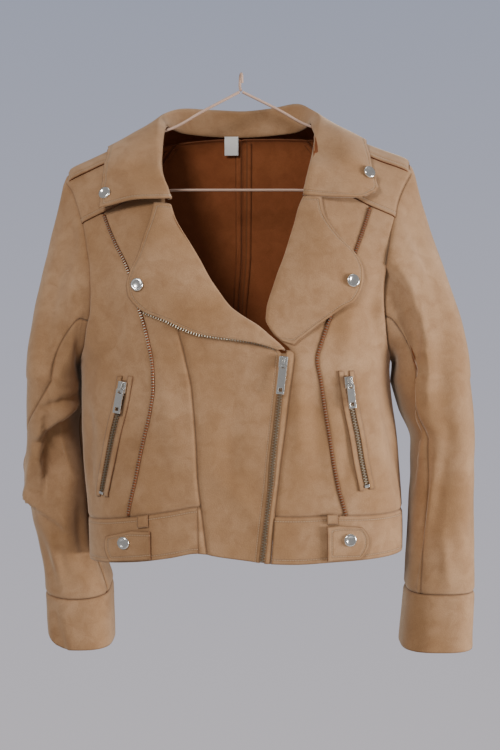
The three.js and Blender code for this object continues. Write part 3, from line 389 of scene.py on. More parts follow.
toothMetal = plainMaterial("toothMetal", {
    "metallic": 1.0, "scale": 400, "colour": (0.44, 0.39, 0.31, 1), "second": (0.29, 0.25, 0.19, 1),
    "smooth": 0.3, "rough": 0.45, "bump": 0.1})
silver = plainMaterial("silver", {
    "metallic": 1.0, "scale": 240, "colour": (0.88, 0.87, 0.84, 1), "second": (0.74, 0.73, 0.70, 1),
    "smooth": 0.10, "rough": 0.26, "bump": 0.12})
wireCoat = plainMaterial("wireCoat", {
    "metallic": 0.0, "scale": 60, "colour": (0.56, 0.36, 0.27, 1), "second": (0.63, 0.43, 0.33, 1),
    "smooth": 0.35, "rough": 0.55, "bump": 0.2})
labelCloth = plainMaterial("labelCloth", {
    "metallic": 0.0, "scale": 700, "colour": (0.72, 0.70, 0.67, 1), "second": (0.80, 0.79, 0.76, 1),
    "smooth": 0.75, "rough": 0.95, "bump": 0.6})
print("materials ready")


# spacing of a piece's rows and columns, close together at its edges
def spacing(length, step, fine=True):
    ends = [0, 0.7, 1.5, 2.5, 3.8, 5.4, 7.6] if fine and length > 34 else [0, 1.2, 2.6]
    inner = length - 2 * ends[-1]
    count = max(int(round(inner / step)), 2)
    middle = [ends[-1] + inner * n / count for n in range(1, count)]
    marks = ends + middle + [length - e for e in reversed(ends)]
    return [m / length for m in marks]


# uneven cloth: a broad and a small noise over the whole jacket
wrinkles = {"broad": 0.016, "small": 0.045, "share": 0.75}


def creases(p, amount):
    broad = noise.noise(p * wrinkles["broad"] + Vector((3.1, 0.4, 7.7)))
    small = noise.noise(p * wrinkles["small"] + Vector((9.2, 5.1, 1.3)))
    return amount * (wrinkles["share"] * broad + (1 - wrinkles["share"]) * small)


# the CAD node that a piece stands for has the same name in small letters
def nodeOf(name):
    return "".join("_" + letter.lower() if letter.isupper() else letter for letter in name)


def finishObject(name, bm, materials, body="jacket"):
    mesh = bpy.data.meshes.new(name)
    bm.to_mesh(mesh)
    bm.free()
    for material in materials:
        mesh.materials.append(material)
    piece = bpy.data.objects.new(name, mesh)
    bpy.context.scene.collection.objects.link(piece)
    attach(piece, body)
    return piece


# an edge dips by a depth over a reach: sewn, lapped, free or left alone
edgeDips = {"s": (1.5, 2.4), "l": (0.25, 1.0), "f": (0.35, 1.1), "n": (0.0, 1.0)}
roundCount = 48
leastFlat = 10.1


# lengths along the cloth from its left edge and from its low edge
def runsOf(spots):
    h, w = len(spots), len(spots[0])
    fromLeft = [[0.0] * w for _ in range(h)]
    fromLow = [[0.0] * w for _ in range(h)]
    for j in range(h):
        for i in range(1, w):
            fromLeft[j][i] = fromLeft[j][i - 1] + (spots[j][i] - spots[j][i - 1]).length
    for i in range(w):
        for j in range(1, h):
            fromLow[j][i] = fromLow[j - 1][i] + (spots[j][i] - spots[j - 1][i]).length
    return fromLeft, fromLow


def normalAt(spots, i, j, closed):
    h, w = len(spots), len(spots[0])
    if closed:
        across = spots[j][(i + 1) % (w - 1)] - spots[j][(i - 1) % (w - 1)]
    else:
        across = spots[j][min(i + 1, w - 1)] - spots[j][max(i - 1, 0)]
    up = spots[min(j + 1, h - 1)][i] - spots[max(j - 1, 0)][i]
    normal = across.cross(up)
    return normal.normalized() if normal.length > 1e-9 else Vector((0, -1, 0))


# edges are worked left, right, bottom, top; sewn names those with topstitching
def layCloth(name, place, size, edges, replaced=None, sewn="", wall=1.5, step=6.0, wrinkle=1.1,
             closed=False, extra=None, flip=False, rim=1, rests="hanger_frame"):
    columns = spacing(size[0], step, not closed)
    rows = spacing(size[1], step)
    if closed:
        columns = [n / roundCount for n in range(roundCount + 1)]
    bm = bmesh.new()
    near = bm.verts.layers.float.new("edgeNear")
    sewnNear = bm.verts.layers.float.new("sewnNear")
    sewnRun = bm.verts.layers.float.new("sewnRun")
    w, h = len(columns), len(rows)
    bmesh.ops.create_grid(bm, x_segments=w - 1, y_segments=h - 1, size=0.5)
    spots = [[place(column, row) for column in columns] for row in rows]
    fromLeft, fromLow = runsOf(spots)
    wide, long = max(row[-1] for row in fromLeft), max(fromLow[-1])

    for vert in bm.verts:
        i = round((vert.co.x + 0.5) * (w - 1))
        j = round((vert.co.y + 0.5) * (h - 1))
        normal = normalAt(spots, i, j, closed)
        if flip:
            normal = -normal
        gaps = {"L": fromLeft[j][i], "R": fromLeft[j][-1] - fromLeft[j][i],
                "B": fromLow[j][i], "T": fromLow[-1][i] - fromLow[j][i]}
        move = creases(spots[j][i], wrinkle)
        for side, kind in zip("LRBT", edges):
            depth, reach = edgeDips[kind]
            move -= depth * math.exp(-(gaps[side] / reach) ** 2)
        if extra:
            move += extra(columns[i], rows[j], gaps, spots[j][i])
        vert.co = (spots[j][i] + normal * move) * 0.001
        vert[near] = min([gaps[side] for side, kind in zip("LRBT", edges) if kind != "n"] + [99])
        best = min([(gaps[side], side) for side in sewn] + [(99.0, "T")])
        vert[sewnNear] = best[0]
        vert[sewnRun] = fromLow[j][i] if best[1] in "LR" else fromLeft[j][i]
    if closed:
        bmesh.ops.remove_doubles(bm, verts=bm.verts, dist=1e-6)
    if flip:
        bmesh.ops.reverse_faces(bm, faces=bm.faces)
    for face in bm.faces:
        face.smooth = True
    piece = finishObject(name, bm, [suede, wrongSide])
    thick = piece.modifiers.new("wall", "SOLIDIFY")
    thick.thickness = wall * 0.001
    thick.offset = -1
    thick.material_offset = 1
    thick.material_offset_rim = rim
    if replaced:
        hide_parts(replaced)
    # the flat width and length, raised to the least width that a sheet may have
    wide, long = max(wide, leastFlat), max(long, leastFlat)
    return piece


def bodyPlace(left, right, low, high, lift=0.0):
    def place(s, t):
        v = mix(pickSide(low, 0), pickSide(high, 0), t)
        theta = 0.0
        for _ in range(6):
            theta = mix(pickSide(left, v), pickSide(right, v), s)
            v = mix(pickSide(low, theta), pickSide(high, theta), t)
        return onBody(theta, v, lift(s, t) if callable(lift) else lift)
    return place


def bodyPanel(name, left, right, low, high, size, edges, lift=0.0, **more):
    return layCloth(name, bodyPlace(left, right, low, high, lift), size, edges, nodeOf(name), **more)


def yokeTuck(theta):
    return yokeSeam + 0.012 - 0.00012 * abs(theta)


def neckBack(theta):
    return 0.974 + 0.004 * clamp(abs(abs(theta) - 180) / 20)


def sideOr(table, start, side):
    return lambda v: side if v < start else table.t(v)


sideRight, sideLeft = sideOr(armRight, 0.487, -90), sideOr(armLeft, 0.475, 90)
sideBackRight, sideBackLeft = sideOr(armBackRight, 0.487, -90), sideOr(armBackLeft, 0.475, 90)

bodyPanel("sideFrontRight", sideRight, trimRight.t, bandTop, yokeTuck, (100, 370), "ssss")
bodyPanel("sideFrontLeft", trimLeft.t, sideLeft, bandTop, yokeTuck, (110, 370), "ssss")
bodyPanel("centreFrontRight", trimRight.t, overlapSeam.t, bandTop, yokeTuck, (60, 370), "ssss")
bodyPanel("overlapFrontRight", overlapSeam.t,
          lambda v: zipEdge.t(v) - 0.62 if v < 0.457 else rollRight.t(v) - 0.4, 0.0, 0.785,
          (80, 390), "sffs", sewn="R")
bodyPanel("zipStripLeft", lambda v: zipEdge.t(v) + 0.62, stripEdge.t, 0.0, 0.462,
          (16, 225), "fsfs", step=5)
bodyPanel("centreFrontLeft", lambda v: stripEdge.t(v) if v < 0.448 else rollLeft.t(v) + 0.3,
          trimLeft.t, bandTop, yokeTuck, (60, 370), "ssss")
bodyPanel("sideBackLeft", sideBackLeft, backSeam.t, bandTop, neckBack, (130, 430), "ssss")
bodyPanel("centreBackLeft", backSeam.t, 180, bandTop, neckBack, (90, 430), "ssss", sewn="R")
bodyPanel("centreBackRight", -180, lambda v: -backSeam.t(v), bandTop, neckBack, (90, 430), "ssss", sewn="L")
bodyPanel("sideBackRight", lambda v: -backSeam.t(v), sideBackRight, bandTop, neckBack, (130, 430), "ssss")
print("fronts and backs laid")


def neckEdge(v):
    return mix(19.5, 23.5, clamp((v - 0.84) / 0.1))


bodyPanel("frontYokeRight", armRight.t, lambda v: -neckEdge(v),
          lambda th: yokeSeam - 0.0004 * (abs(th) - 38), 0.972, (120, 95), "slls", lift=lapped, sewn="B")
bodyPanel("frontYokeLeft", neckEdge, armLeft.t,
          lambda th: yokeSeam - 0.0006 * (abs(th) - 34), 0.972, (120, 90), "lsls", lift=lapped, sewn="B")

# the shoulder strips run over the shoulder from front to back, raised off it
stripRise = 3.4


def shoulderPlace(side, neck, frontEnd, backEnd):
    # height on the body and lift of each row, the back ones a little lower and flatter
    marks = [(0.962, 4.4), (0.974, 4.4), (0.986, 3.74)]

    def drop(f):
        return clamp((f - 0.8) / 0.2) ** 2

    def at(f, mark, back):
        theta = 180 - mix(neck + 1, 180 - backEnd, f) if back else mix(neck, frontEnd, f)
        lift = (mark[1] * 0.55 + 0.4 if back else mark[1]) * (1 - 0.5 * drop(f))
        return onBody(side * theta, mark[0] - (0.006 if back else 0), lift)

    def place(s, t):
        f = s if side > 0 else 1 - s
        over = at(f, marks[2], False).lerp(at(f, marks[2], True), 0.5)
        over = Vector((over.x, 0, shoulderLine.z(over.x) + stripRise * (1 - 0.6 * drop(f))))
        ring = [at(f, m, False) for m in marks] + [over] + [at(f, m, True) for m in reversed(marks)]
        k = t * (len(ring) - 1)
        n = min(int(k), len(ring) - 2)
        return catmull(ring, n, k - n)
    return place


# a smooth step f from point n to the next one
def catmull(points, n, f):
    a, b = points[max(n - 1, 0)], points[n]
    c, d = points[n + 1], points[min(n + 2, len(points) - 1)]
    return 0.5 * ((2 * b) + (c - a) * f + (2 * a - 5 * b + 4 * c - d) * f * f
                  + (3 * b - a - 3 * c + d) * f ** 3)


layCloth("shoulderStripRight", shoulderPlace(-1, 24, 55.5, 123), (100, 90), "ssls",
         "shoulder_strip_right", sewn="B", step=5)
layCloth("shoulderStripLeft", shoulderPlace(1, 24, 52.5, 125), (100, 90), "ssls",
         "shoulder_strip_left", sewn="B", step=5)


# waistband, its end piece, the tabs and their loops
def tabLift(s, t):
    return lapped + 1.5 * (abs(2 * s - 1) ** 3 + 0.6 * t * t)


bodyPanel("waistbandRight", -90, -13.4, 0.0, bandTop, (190, 48), "sffs", sewn="TB")
bodyPanel("bandEdgeRight", -13.4, overlapSeam.t, 0.0, bandTop, (14, 48), "fsfs", step=4)
bodyPanel("waistbandLeft", stripEdge.t, 90, 0.0, bandTop, (210, 48), "fsfs", sewn="TB")
bodyPanel("waistbandBack", 90, 270, 0.0, bandTop, (400, 48), "ssfs", sewn="TB")
bodyPanel("waistTabRight", lambda v: mix(-46, -50.5, math.sin(math.pi * clamp(v / 0.08)) ** 0.7),
          -28.6, 0.004, lambda th: 0.074 - 0.0007 * abs(th + 36), (52, 36), "llll",
          lift=tabLift, sewn="LBT", step=4)
bodyPanel("waistTabLeft", 23.8, lambda v: mix(34.5, 40.6, math.sin(math.pi * clamp(v / 0.086)) ** 0.7),
          0.004, lambda th: 0.083 - 0.0005 * abs(th - 28), (48, 38), "llll",
          lift=tabLift, sewn="LRBT", step=4)
bodyPanel("tabLoopRight", -33.4, -29.2, 0.078, 0.106, (14, 13), "llll", lift=lapped + 0.6, step=3)
bodyPanel("tabLoopLeft", 23.8, 27.6, 0.086, 0.108, (13, 11), "llll", lift=lapped + 0.6, step=3)
print("yokes, straps and waistband laid")


# lapels: rows run from the collar end of the roll line down to the zip
def lapelPlace(rows, side):
    table = Table("k rollT rollV edgeT edgeV rollLift midLift edgeLift", rows)

    def place(s, t):
        k = (1 - t) * 12
        out = 1 - s if side < 0 else s
        rollT, rollV, edgeT, edgeV = table.rollT(k), table.rollV(k), table.edgeT(k), table.edgeV(k)
        lift = table.rollLift(k)
        roll = onBody(rollT, rollV, lift)
        middle = onBody(mix(rollT, edgeT, 0.5), mix(rollV, edgeV, 0.5), table.midLift(k))
        edge = onBody(edgeT, edgeV, table.edgeLift(k))
        fold = 0.12
        if out < fold:
            turn = math.pi * out / fold
            normal = bodyNormal(rollT, rollV)
            outward = (roll - middle)
            outward = (outward - normal * outward.dot(normal)).normalized()
            rise = lift / 2 * (1 - math.cos(turn)) - lift
            return roll + normal * rise + outward * (lift / 2 + 0.6) * math.sin(turn)
        u = (out - fold) / (1 - fold)
        return roll * (1 - u) * (1 - 2 * u) + middle * 4 * u * (1 - u) + edge * u * (2 * u - 1)
    return place


lapelRight = lapelPlace([
    (0, -17.6, 0.788, -21.6, 0.798, 3.4, 4.4, 5.4), (1, -16.5, 0.755, -23.1, 0.754, 1.6, 5.5, 7.0),
    (2, -15.0, 0.725, -24.8, 0.724, 1.5, 7.0, 8.5), (3, -13.0, 0.690, -27.3, 0.683, 1.5, 8.0, 9.0),
    (4, -10.5, 0.650, -30.1, 0.654, 1.5, 8.5, 8.5), (5, -8.0, 0.612, -31.9, 0.626, 1.8, 8.5, 7.5),
    (6, -5.0, 0.577, -31.9, 0.606, 3.2, 8.0, 6.5), (7, -2.0, 0.547, -28.4, 0.563, 4.2, 7.5, 6.0),
    (8, 2.0, 0.525, -20.2, 0.524, 5.4, 7.0, 6.5), (9, 6.0, 0.506, -9.8, 0.483, 6.4, 7.4, 7.4),
    (10, 9.5, 0.487, 0.1, 0.476, 6.6, 7.6, 7.6), (11, 12.5, 0.471, 7.7, 0.470, 6.4, 7.2, 7.0),
    (12, 14.0, 0.462, 12.2, 0.461, 5.2, 5.6, 5.6)], -1)
lapelLeft = lapelPlace([
    (0, 16.0, 0.800, 20.1, 0.800, 3.4, 4.4, 5.2), (1, 14.6, 0.770, 21.0, 0.763, 2.8, 5.0, 6.0),
    (2, 13.8, 0.740, 23.2, 0.735, 2.6, 6.0, 7.5), (3, 13.0, 0.715, 26.0, 0.714, 2.6, 7.0, 8.5),
    (4, 12.3, 0.690, 31.1, 0.693, 2.6, 7.5, 8.5), (5, 11.6, 0.660, 35.2, 0.662, 2.6, 7.5, 8.0),
    (6, 10.8, 0.630, 36.7, 0.622, 2.6, 7.0, 7.0), (7, 10.1, 0.600, 35.8, 0.592, 2.4, 6.0, 6.5),
    (8, 9.4, 0.575, 32.5, 0.569, 2.2, 5.0, 6.5), (9, 8.9, 0.550, 28.5, 0.539, 2.2, 3.8, 6.0),
    (10, 8.9, 0.527, 22.5, 0.503, 2.2, 3.0, 4.4), (11, 10.6, 0.503, 19.0, 0.483, 2.2, 2.6, 3.2),
    (12, 14.0, 0.480, 17.6, 0.472, 2.2, 2.3, 2.6)], 1)
layCloth("lapelRight", lapelRight, (95, 260), "fnff", "lapel_right", sewn="LBT", step=5, rim=0)
layCloth("lapelLeft", lapelLeft, (85, 230), "nfff", "lapel_left", sewn="RBT", step=5, rim=0)

# collar: neck seam, roll, middle of the leaf and leaf edge at each station round the neck;
# a spot is a point, or an angle, height and lift on the body where its second number is a height
def collarSpot(a, b, c):
    return onBody(a, b, c) if 0 < b < 1 else Vector((a, b, c))


collarRows = [[collarSpot(*spot) for spot in row] for row in (
    ((-17.4, 0.800, 0.4), (-17.0, 0.795, 5.2), (-27.5, 0.812, 8.6), (-37.3, 0.828, 8.4)),
    ((-18.2, 0.840, 0.4), (-17.8, 0.825, 6.4), (-27.5, 0.850, 10.0), (-37.2, 0.865, 8.6)),
    ((-19.0, 0.880, 0.4), (-19.6, 0.870, 9.0), (-28.5, 0.888, 12.0), (-36.9, 0.900, 9.4)),
    ((-19.2, 0.925, 0.6), (-92, -42, -99), (-28.5, 0.925, 14.0), (-36.5, 0.935, 10.0)),
    ((-86, -16, -68), (-93, -24, -72), (-122, -24, -79), (-151, -20, -90)),
    ((-84, 4, -56.5), (-95, -3, -52), (-124, -2, -66), (-152, 2, -83)),
    ((-78, 24, -56), (-89, 20, -38), (-116, 34, -58), (-140, 46, -90)),
    ((-66, 38, -58), (-70, 38, -28), (-82, 55, -48), (-94, 63, -87)),
    ((-34, 44, -60), (-36, 48, -27), (-40, 62, -46), (-44, 69, -80)),
    ((0, 46, -60.5), (0, 51, -28), (0, 65, -45), (0, 72, -78)),
    ((34, 44, -59), (36, 48, -25), (40, 62, -44), (44, 69, -79)),
    ((62, 38, -57), (66, 38, -22), (78, 54, -46), (92, 63, -86)),
    ((73, 24, -55), (82, 20, -33), (110, 34, -55), (136, 46, -85)),
    ((79, 4, -52.5), (90, -3, -47), (117, -2, -60), (143, 2, -75)),
    ((80, -16, -64), (86, -24, -67), (115, -24, -71), (143, -20, -82)),
    ((18.8, 0.925, 0.6), (80, -40, -94), (26.5, 0.918, 13.0), (35.2, 0.918, 10.0)),
    ((18.2, 0.880, 0.4), (16.7, 0.868, 9.0), (26.5, 0.878, 12.0), (37.0, 0.876, 9.4)),
    ((16.9, 0.840, 0.4), (15.8, 0.830, 6.8), (25.5, 0.843, 10.5), (34.5, 0.854, 9.0)),
    ((15.9, 0.802, 0.4), (15.2, 0.800, 5.2), (23.0, 0.803, 8.6), (31.0, 0.834, 8.6)))]


def collarAt(k, out):
    n = min(int(k), len(collarRows) - 2)
    seam, roll, middle, edge = [catmull([row[c] for row in collarRows], n, k - n) for c in range(4)]
    rise = (roll - seam).normalized()
    fall = (middle - roll).normalized()
    path = [seam, seam.lerp(roll, 0.55), roll - rise * 3.4, roll, roll + fall * 3.4,
            roll.lerp(middle, 0.55), middle, middle * 0.75 + edge * 0.375 - roll * 0.125, edge]
    where = [0, 0.16, 0.30, 0.34, 0.38, 0.52, 0.68, 0.84, 1.0]
    m = 0
    while m < len(where) - 2 and out > where[m + 1]:
        m += 1
    return catmull(path, m, (out - where[m]) / (where[m + 1] - where[m]))


def collarPlace(s, t):
    return collarAt(t * 18, 1 - s)


def collarLift(s, t, gaps, p):
    # the leaf's front ends stand off the jacket and their hems ripple
    leaf = (1 - s) ** 3
    ends = 7.5 * math.exp(-(t / 0.10) ** 2) + 3.5 * math.exp(-((1 - t) / 0.09) ** 2)
    gape = 6.0 * math.exp(-((s - 0.42) / 0.2) ** 2 - (t / 0.05) ** 2)
    ripple = 0.9 * math.sin(t * 150) * math.exp(-min(gaps["B"], gaps["T"], gaps["L"]) / 6)
    return leaf * ends + gape + ripple


layCloth("jacketCollar", collarPlace, (100, 420), "fsff", "collar", sewn="LBT", step=5, rim=0,
         extra=collarLift)
print("lapels and collar laid")

# sleeves: rings down the arm, joined to the armhole by a curved cap
sleeveRight = Table("z outer inner front back dip", [
    (-350, -241.5, -184, -55, 57, 0), (-385, -245, -185.5, -44, 64, 0), (-420, -247.5, -183.5, -30, 74, 0),
    (-455, -250.5, -181, -22, 78, 0), (-484, -249, -179.5, -17, 80, 0), (-512, -244, -178, -13, 81, 0),
    (-541, -237, -174.5, -7, 82, 4), (-570, -232.5, -161, -2, 84, 8), (-594, -231, -153.5, 1, 83, 10),
    (-665, -227, -152, 3, 81, 3)])
sleeveLeft = Table("z outer inner front back dip", [
    (-350, 257, 173, -58, 54, 0), (-385, 261.5, 184, -53, 50, 0), (-420, 264.5, 197, -47, 45, 0),
    (-455, 265.5, 197, -44, 43, 0), (-490, 266, 195, -42, 41, 0), (-525, 266, 192.5, -41, 40, 0),
    (-560, 266, 190, -40, 40, 0), (-590, 266, 188.5, -40, 39, 2), (-658, 264, 182, -41, 40, 2)])
# the right sleeve's two seams turn round the arm on their way down to the cuff
seamTurn = Table("z front back", [
    (-350, 100, 212), (-380, 68, 196), (-416, 28, 180), (-460, 14, 166), (-594, 8, 150)])
seamTop = {"front": 128, "back": 232}
capEnd = -350
sleeveSize = {"cuffSeamRight": -594, "cuffSeamLeft": -588, "cuffEndRight": -660, "cuffEndLeft": -653,
              "capLength": 205}

# creases: ring angle and height at both ends, half width, depth
foldsRight = [
    (60, -150, 84, -330, 13, -5), (100, -250, 150, -352, 9, 5), (128, -300, 92, -362, 8, -4),
    (134, -440, 70, -462, 20, -9), (62, -430, 44, -486, 9, 6), (24, -470, 60, -500, 10, 5),
    (112, -486, 96, -560, 9, 4), (140, -480, 128, -570, 9, -5), (40, -505, 62, -590, 12, -4),
    (76, -520, 70, -590, 8, 4), (14, -430, 6, -470, 10, 4),
    (300, -392, 230, -410, 10, -6), (310, -450, 225, -440, 12, -5), (330, -500, 250, -520, 12, 4)]
foldsLeft = [
    (58, -140, 88, -420, 12, -3), (120, -150, 140, -250, 12, 4), (92, -410, 128, -560, 12, -3),
    (128, -300, 110, -380, 9, 3), (40, -220, 30, -420, 16, 3), (72, -170, 78, -330, 8, 3),
    (150, -380, 120, -430, 9, -4), (96, -520, 84, -586, 9, 3), (20, -480, 60, -560, 14, -3),
    (310, -380, 240, -400, 12, -5), (320, -470, 250, -460, 12, 4)]


def sleeveFold(a, z, folds):
    total = 0.0
    for a0, z0, a1, z1, half, depth in folds:
        px = ((a - a0 + 540) % 360 - 180) * 0.9
        ax, az, pz = (a1 - a0) * 0.9, z1 - z0, z - z0
        along = clamp((px * ax + pz * az) / (ax * ax + az * az))
        d = math.hypot(px - along * ax, pz - along * az) / half
        if d < 3:
            total += depth * math.sin(math.pi * clamp(along, 0.12, 0.88)) * math.exp(-d * d)
    return total


def armholeEdge(side, a, front):
    low = 0.489 if side < 0 else 0.477
    v = low + (0.985 - low) * (0.5 + 0.5 * math.cos(math.radians(a)))
    if side < 0:
        theta = (armRight if front else armBackRight).t(v)
    else:
        theta = (armLeft if front else armBackLeft).t(v)
    return onBody(theta, v)


# over the shoulder the sleeve's edge arches from front to back under the strip's end
def armholePoint(side, a):
    turn, arch = (a + 180) % 360 - 180, 24
    if abs(turn) >= arch:
        return armholeEdge(side, turn, turn > 0)
    front, back = armholeEdge(side, arch, True), armholeEdge(side, arch, False)
    x = (front.x + back.x) / 2 + side * 1.5
    over = Vector((x, 0, shoulderLine.z(x) - 0.6))
    u = 0.5 + 0.5 * turn / arch
    return back * (1 - u) * (1 - 2 * u) + over * 4 * u * (1 - u) + front * u * (2 * u - 1)


def ringPoint(rings, z, a):
    turn = math.radians(a)
    c, s = math.cos(turn), math.sin(turn)
    square = 1 + 0.12 * math.sin(2 * turn) ** 2
    mx, hx = (rings.outer(z) + rings.inner(z)) / 2, (rings.outer(z) - rings.inner(z)) / 2
    my, hy = (rings.front(z) + rings.back(z)) / 2, (rings.back(z) - rings.front(z)) / 2
    return Vector((mx + hx * c * square, my - hy * s * square, z - rings.dip(z) * s))


# ring angle, height of the ring and how far the cap has run out of the armhole
def sleeveTurn(side, upper):
    cuffSeam = sleeveSize["cuffSeamRight"] if side < 0 else sleeveSize["cuffSeamLeft"]
    lower = (capEnd - cuffSeam) / (capEnd - cuffSeam + sleeveSize["capLength"])

    def turnAt(s, t):
        z = mix(cuffSeam, capEnd, clamp(t / lower))
        f = clamp(1 - (t - lower) / (1 - lower))
        front, back = seamTop["front"], seamTop["back"]
        if side < 0:
            front, back = mix(front, seamTurn.front(z), f), mix(back, seamTurn.back(z), f)
        a = mix(back - 360 if upper else front, front if upper else back, s if side < 0 else 1 - s)
        return a, z, f
    return turnAt


def sleevePlace(side, upper):
    rings, folds = (sleeveRight, foldsRight) if side < 0 else (sleeveLeft, foldsLeft)
    turnAt = sleeveTurn(side, upper)

    def place(s, t):
        a, z, f = turnAt(s, t)
        turn = math.radians(a)
        if f == 1:
            p = ringPoint(rings, z, a)
        else:
            p0, p1 = armholePoint(side, a), ringPoint(rings, capEnd, a)
            top, edge = 0.5 + 0.5 * math.cos(turn), abs(math.sin(turn))
            fall = p0.z - p1.z
            out = Vector((side * (10 + 16 * top + 52 * edge), 0, -fall * (0.2 + 0.75 * top * top)))
            down = Vector((0, 0, -fall * (0.9 + 0.1 * top)))
            p = (p0 * (2 * f ** 3 - 3 * f ** 2 + 1) + out * (f ** 3 - 2 * f ** 2 + f)
                 + p1 * (-2 * f ** 3 + 3 * f ** 2) + down * (f ** 3 - f ** 2))
            p.x += side * (0.9 - 2.8 * clamp(1 - f / 0.05))
        outward = Vector((side * math.cos(turn), -math.sin(turn), 0))
        fade = clamp((1 - t) / 0.06)
        return p + outward * sleeveFold(a, p.z, folds) * fade
    return place


# cloth that falls over itself: out above the line, in below it
def lipFold(side, upper, lips):
    turnAt = sleeveTurn(side, upper)

    def extra(s, t, gaps, p):
        a = turnAt(s, t)[0]
        total = 0.0
        for a0, z0, a1, z1, out, inner, above, below in lips:
            px, pz = ((a - a0 + 540) % 360 - 180) * 0.75, p.z - z0
            ax, az = (a1 - a0) * 0.75, z1 - z0
            along = (px * ax + pz * az) / (ax * ax + az * az)
            if -0.2 < along < 1.2:
                up = (pz * ax - px * az) / math.hypot(ax, az) * (1 if ax > 0 else -1)
                if above < 0:
                    up, above = -up, -above
                fade = math.sin(math.pi * clamp((along + 0.2) / 1.4)) ** 0.7
                if up > 0:
                    total += out * fade * math.exp(-(up / above) ** 2)
                else:
                    total += (out - (out + inner) * clamp(-up / 1.8)) * fade * math.exp(-(up / below) ** 2)
        return total
    return extra


# start and end of each line, how far out above it and in below it, and its reach both ways
rightLips = [(152, -364, 84, -376, 2.2, 3.0, 9, 10), (160, -378, 74, -414, 5.0, 13, 14, 48),
             (80, -400, 70, -468, 2.8, 8.0, 9, 34), (28, -484, 104, -520, 2.2, 3.6, 9, 16)]
leftLips = [(86, -120, 107, -335, 4.6, 10.0, -13, 24), (104, -300, 150, -446, 3.6, 7.0, -14, 20),
            (120, -450, 132, -570, 2.0, 3.4, -12, 16)]
layCloth("upperSleeveRight", sleevePlace(-1, True), (215, 450), "ssss", "upper_sleeve_right",
         step=3.8, wrinkle=1.6, extra=lipFold(-1, True, rightLips))
layCloth("underSleeveRight", sleevePlace(-1, False), (120, 430), "ssss", "under_sleeve_right",
         step=3.8, wrinkle=1.6, extra=lipFold(-1, False, rightLips))
layCloth("upperSleeveLeft", sleevePlace(1, True), (230, 450), "ssss", "upper_sleeve_left",
         step=4.2, wrinkle=1.6, extra=lipFold(1, True, leftLips))
layCloth("underSleeveLeft", sleevePlace(1, False), (95, 400), "ssss", "under_sleeve_left",
         step=5, wrinkle=1.6, extra=lipFold(1, False, leftLips))


def cuffPlace(side, seam, end):
    rings = sleeveRight if side < 0 else sleeveLeft

    def place(s, t):
        a = 360 * s * (1 if side < 0 else -1)
        if side > 0:
            return ringPoint(rings, mix(end, seam - 0.4, t), a)
        # the hem of the bent sleeve rises to the outside, past a soft fold
        low = end + 20 * clamp(1 - abs((a - 6 + 180) % 360 - 180) / 52) ** 0.6
        dent = math.exp(-((a - mix(62, 50, t)) / 7) ** 2) * (1 - t) ** 0.7
        return ringPoint(rings, mix(low, seam - 0.4, t), a) + Vector((0.5, 1, 0)) * 7 * dent
    return place


for name, side, node in (("cuffRight", -1, "cuff_right"), ("cuffLeft", 1, "cuff_left")):
    tag = "Right" if side < 0 else "Left"
    cuff = layCloth(name, cuffPlace(side, sleeveSize["cuffSeam" + tag], sleeveSize["cuffEnd" + tag]),
                    (240, 66), "nnfs", node, wall=2.1, step=4, closed=True, wrinkle=1.3)
print("sleeves and cuffs laid")


# neck label, bowed a little in the middle
def labelPlace(s, t):
    bow = 1.2 * math.sin(math.pi * t)
    return Vector((mix(-3.5, -20, s), mix(48.8, 44.4, t) - bow, mix(-82, -60.5, t)))


label = layCloth("neckLabel", labelPlace, (16, 22), "ffff", "neck_label", wall=0.5, step=3, wrinkle=0.3,
                 rests="centreBackLeft")
label.data.materials[0] = labelCloth
label.data.materials[1] = labelCloth


# turnings of the back seams, seen inside the neck
def insideStrip(name, path, v0, v1, width):
    def place(s, t):
        v = mix(v0, v1, t)
        theta = path(v) + mix(-width, width, s) / 1.6
        return onBody(theta, v, -2.3 - 0.5 * math.cos(2 * math.pi * s))
    strip = layCloth(name, place, (width * 2, 200), "ffff", wall=0.6, step=5, wrinkle=0.2, flip=True,
                     rests="centreBackLeft", sewn="LR")
    strip.data.materials[0] = wrongSide
    return strip


insideStrip("insideSeamCentre", lambda v: -180.6, 0.11, 0.966, 3.4)
insideStrip("insideSeamRight", lambda v: -backSeam.t(v), 0.11, 0.966, 3.2)
insideStrip("insideSeamLeft", backSeam.t, 0.11, 0.966, 3.2)
print("label and inside seams laid")

# metal parts stand in frames: x across, y up, z out of the cloth
toMetres = Matrix.Scale(0.001, 4)


def frameAt(point, normal, up):
    z = normal.normalized()
    y = (up - z * up.dot(z)).normalized()
    x = y.cross(z)
    rows = [(x[n], y[n], z[n], point[n]) for n in range(3)]
    return Matrix((*rows, (0, 0, 0, 1)))


def bodyFrame(path, v, lift):
    point = onBody(path(v), v, lift)
    above = onBody(path(v + 0.01), v + 0.01, lift)
    return frameAt(point, bodyNormal(path(v), v), above - point)


def addBlock(bm, frameMatrix, centre, size, bevel):
    part = bmesh.new()
    bmesh.ops.create_cube(part, size=1, matrix=Matrix.Translation(centre) @ Matrix.Diagonal((*size, 1)))
    bmesh.ops.bevel(part, geom=part.edges[:], offset=bevel, affect="EDGES", segments=2, profile=0.5,
                    material=-1)
    part.transform(toMetres @ frameMatrix)
    held = bpy.data.meshes.new("part")
    part.to_mesh(held)
    part.free()
    bm.from_mesh(held)
    bpy.data.meshes.remove(held)


def finishMetal(name, bm, replaced, body="jacket", material=silver, smooth=False):
    for face in bm.faces:
        face.smooth = smooth
    piece = finishObject(name, bm, [material], body)
    if replaced:
        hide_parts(replaced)


# half profile of a press snap's cap: radius and height
snapSize = {"profile": [(0.0, 1.75), (2.2, 1.8), (3.6, 2.1), (4.5, 2.55), (5.5, 2.7), (6.4, 2.35),
                        (6.95, 1.5), (7.2, 0.6), (7.1, 0.0)], "steps": 40}


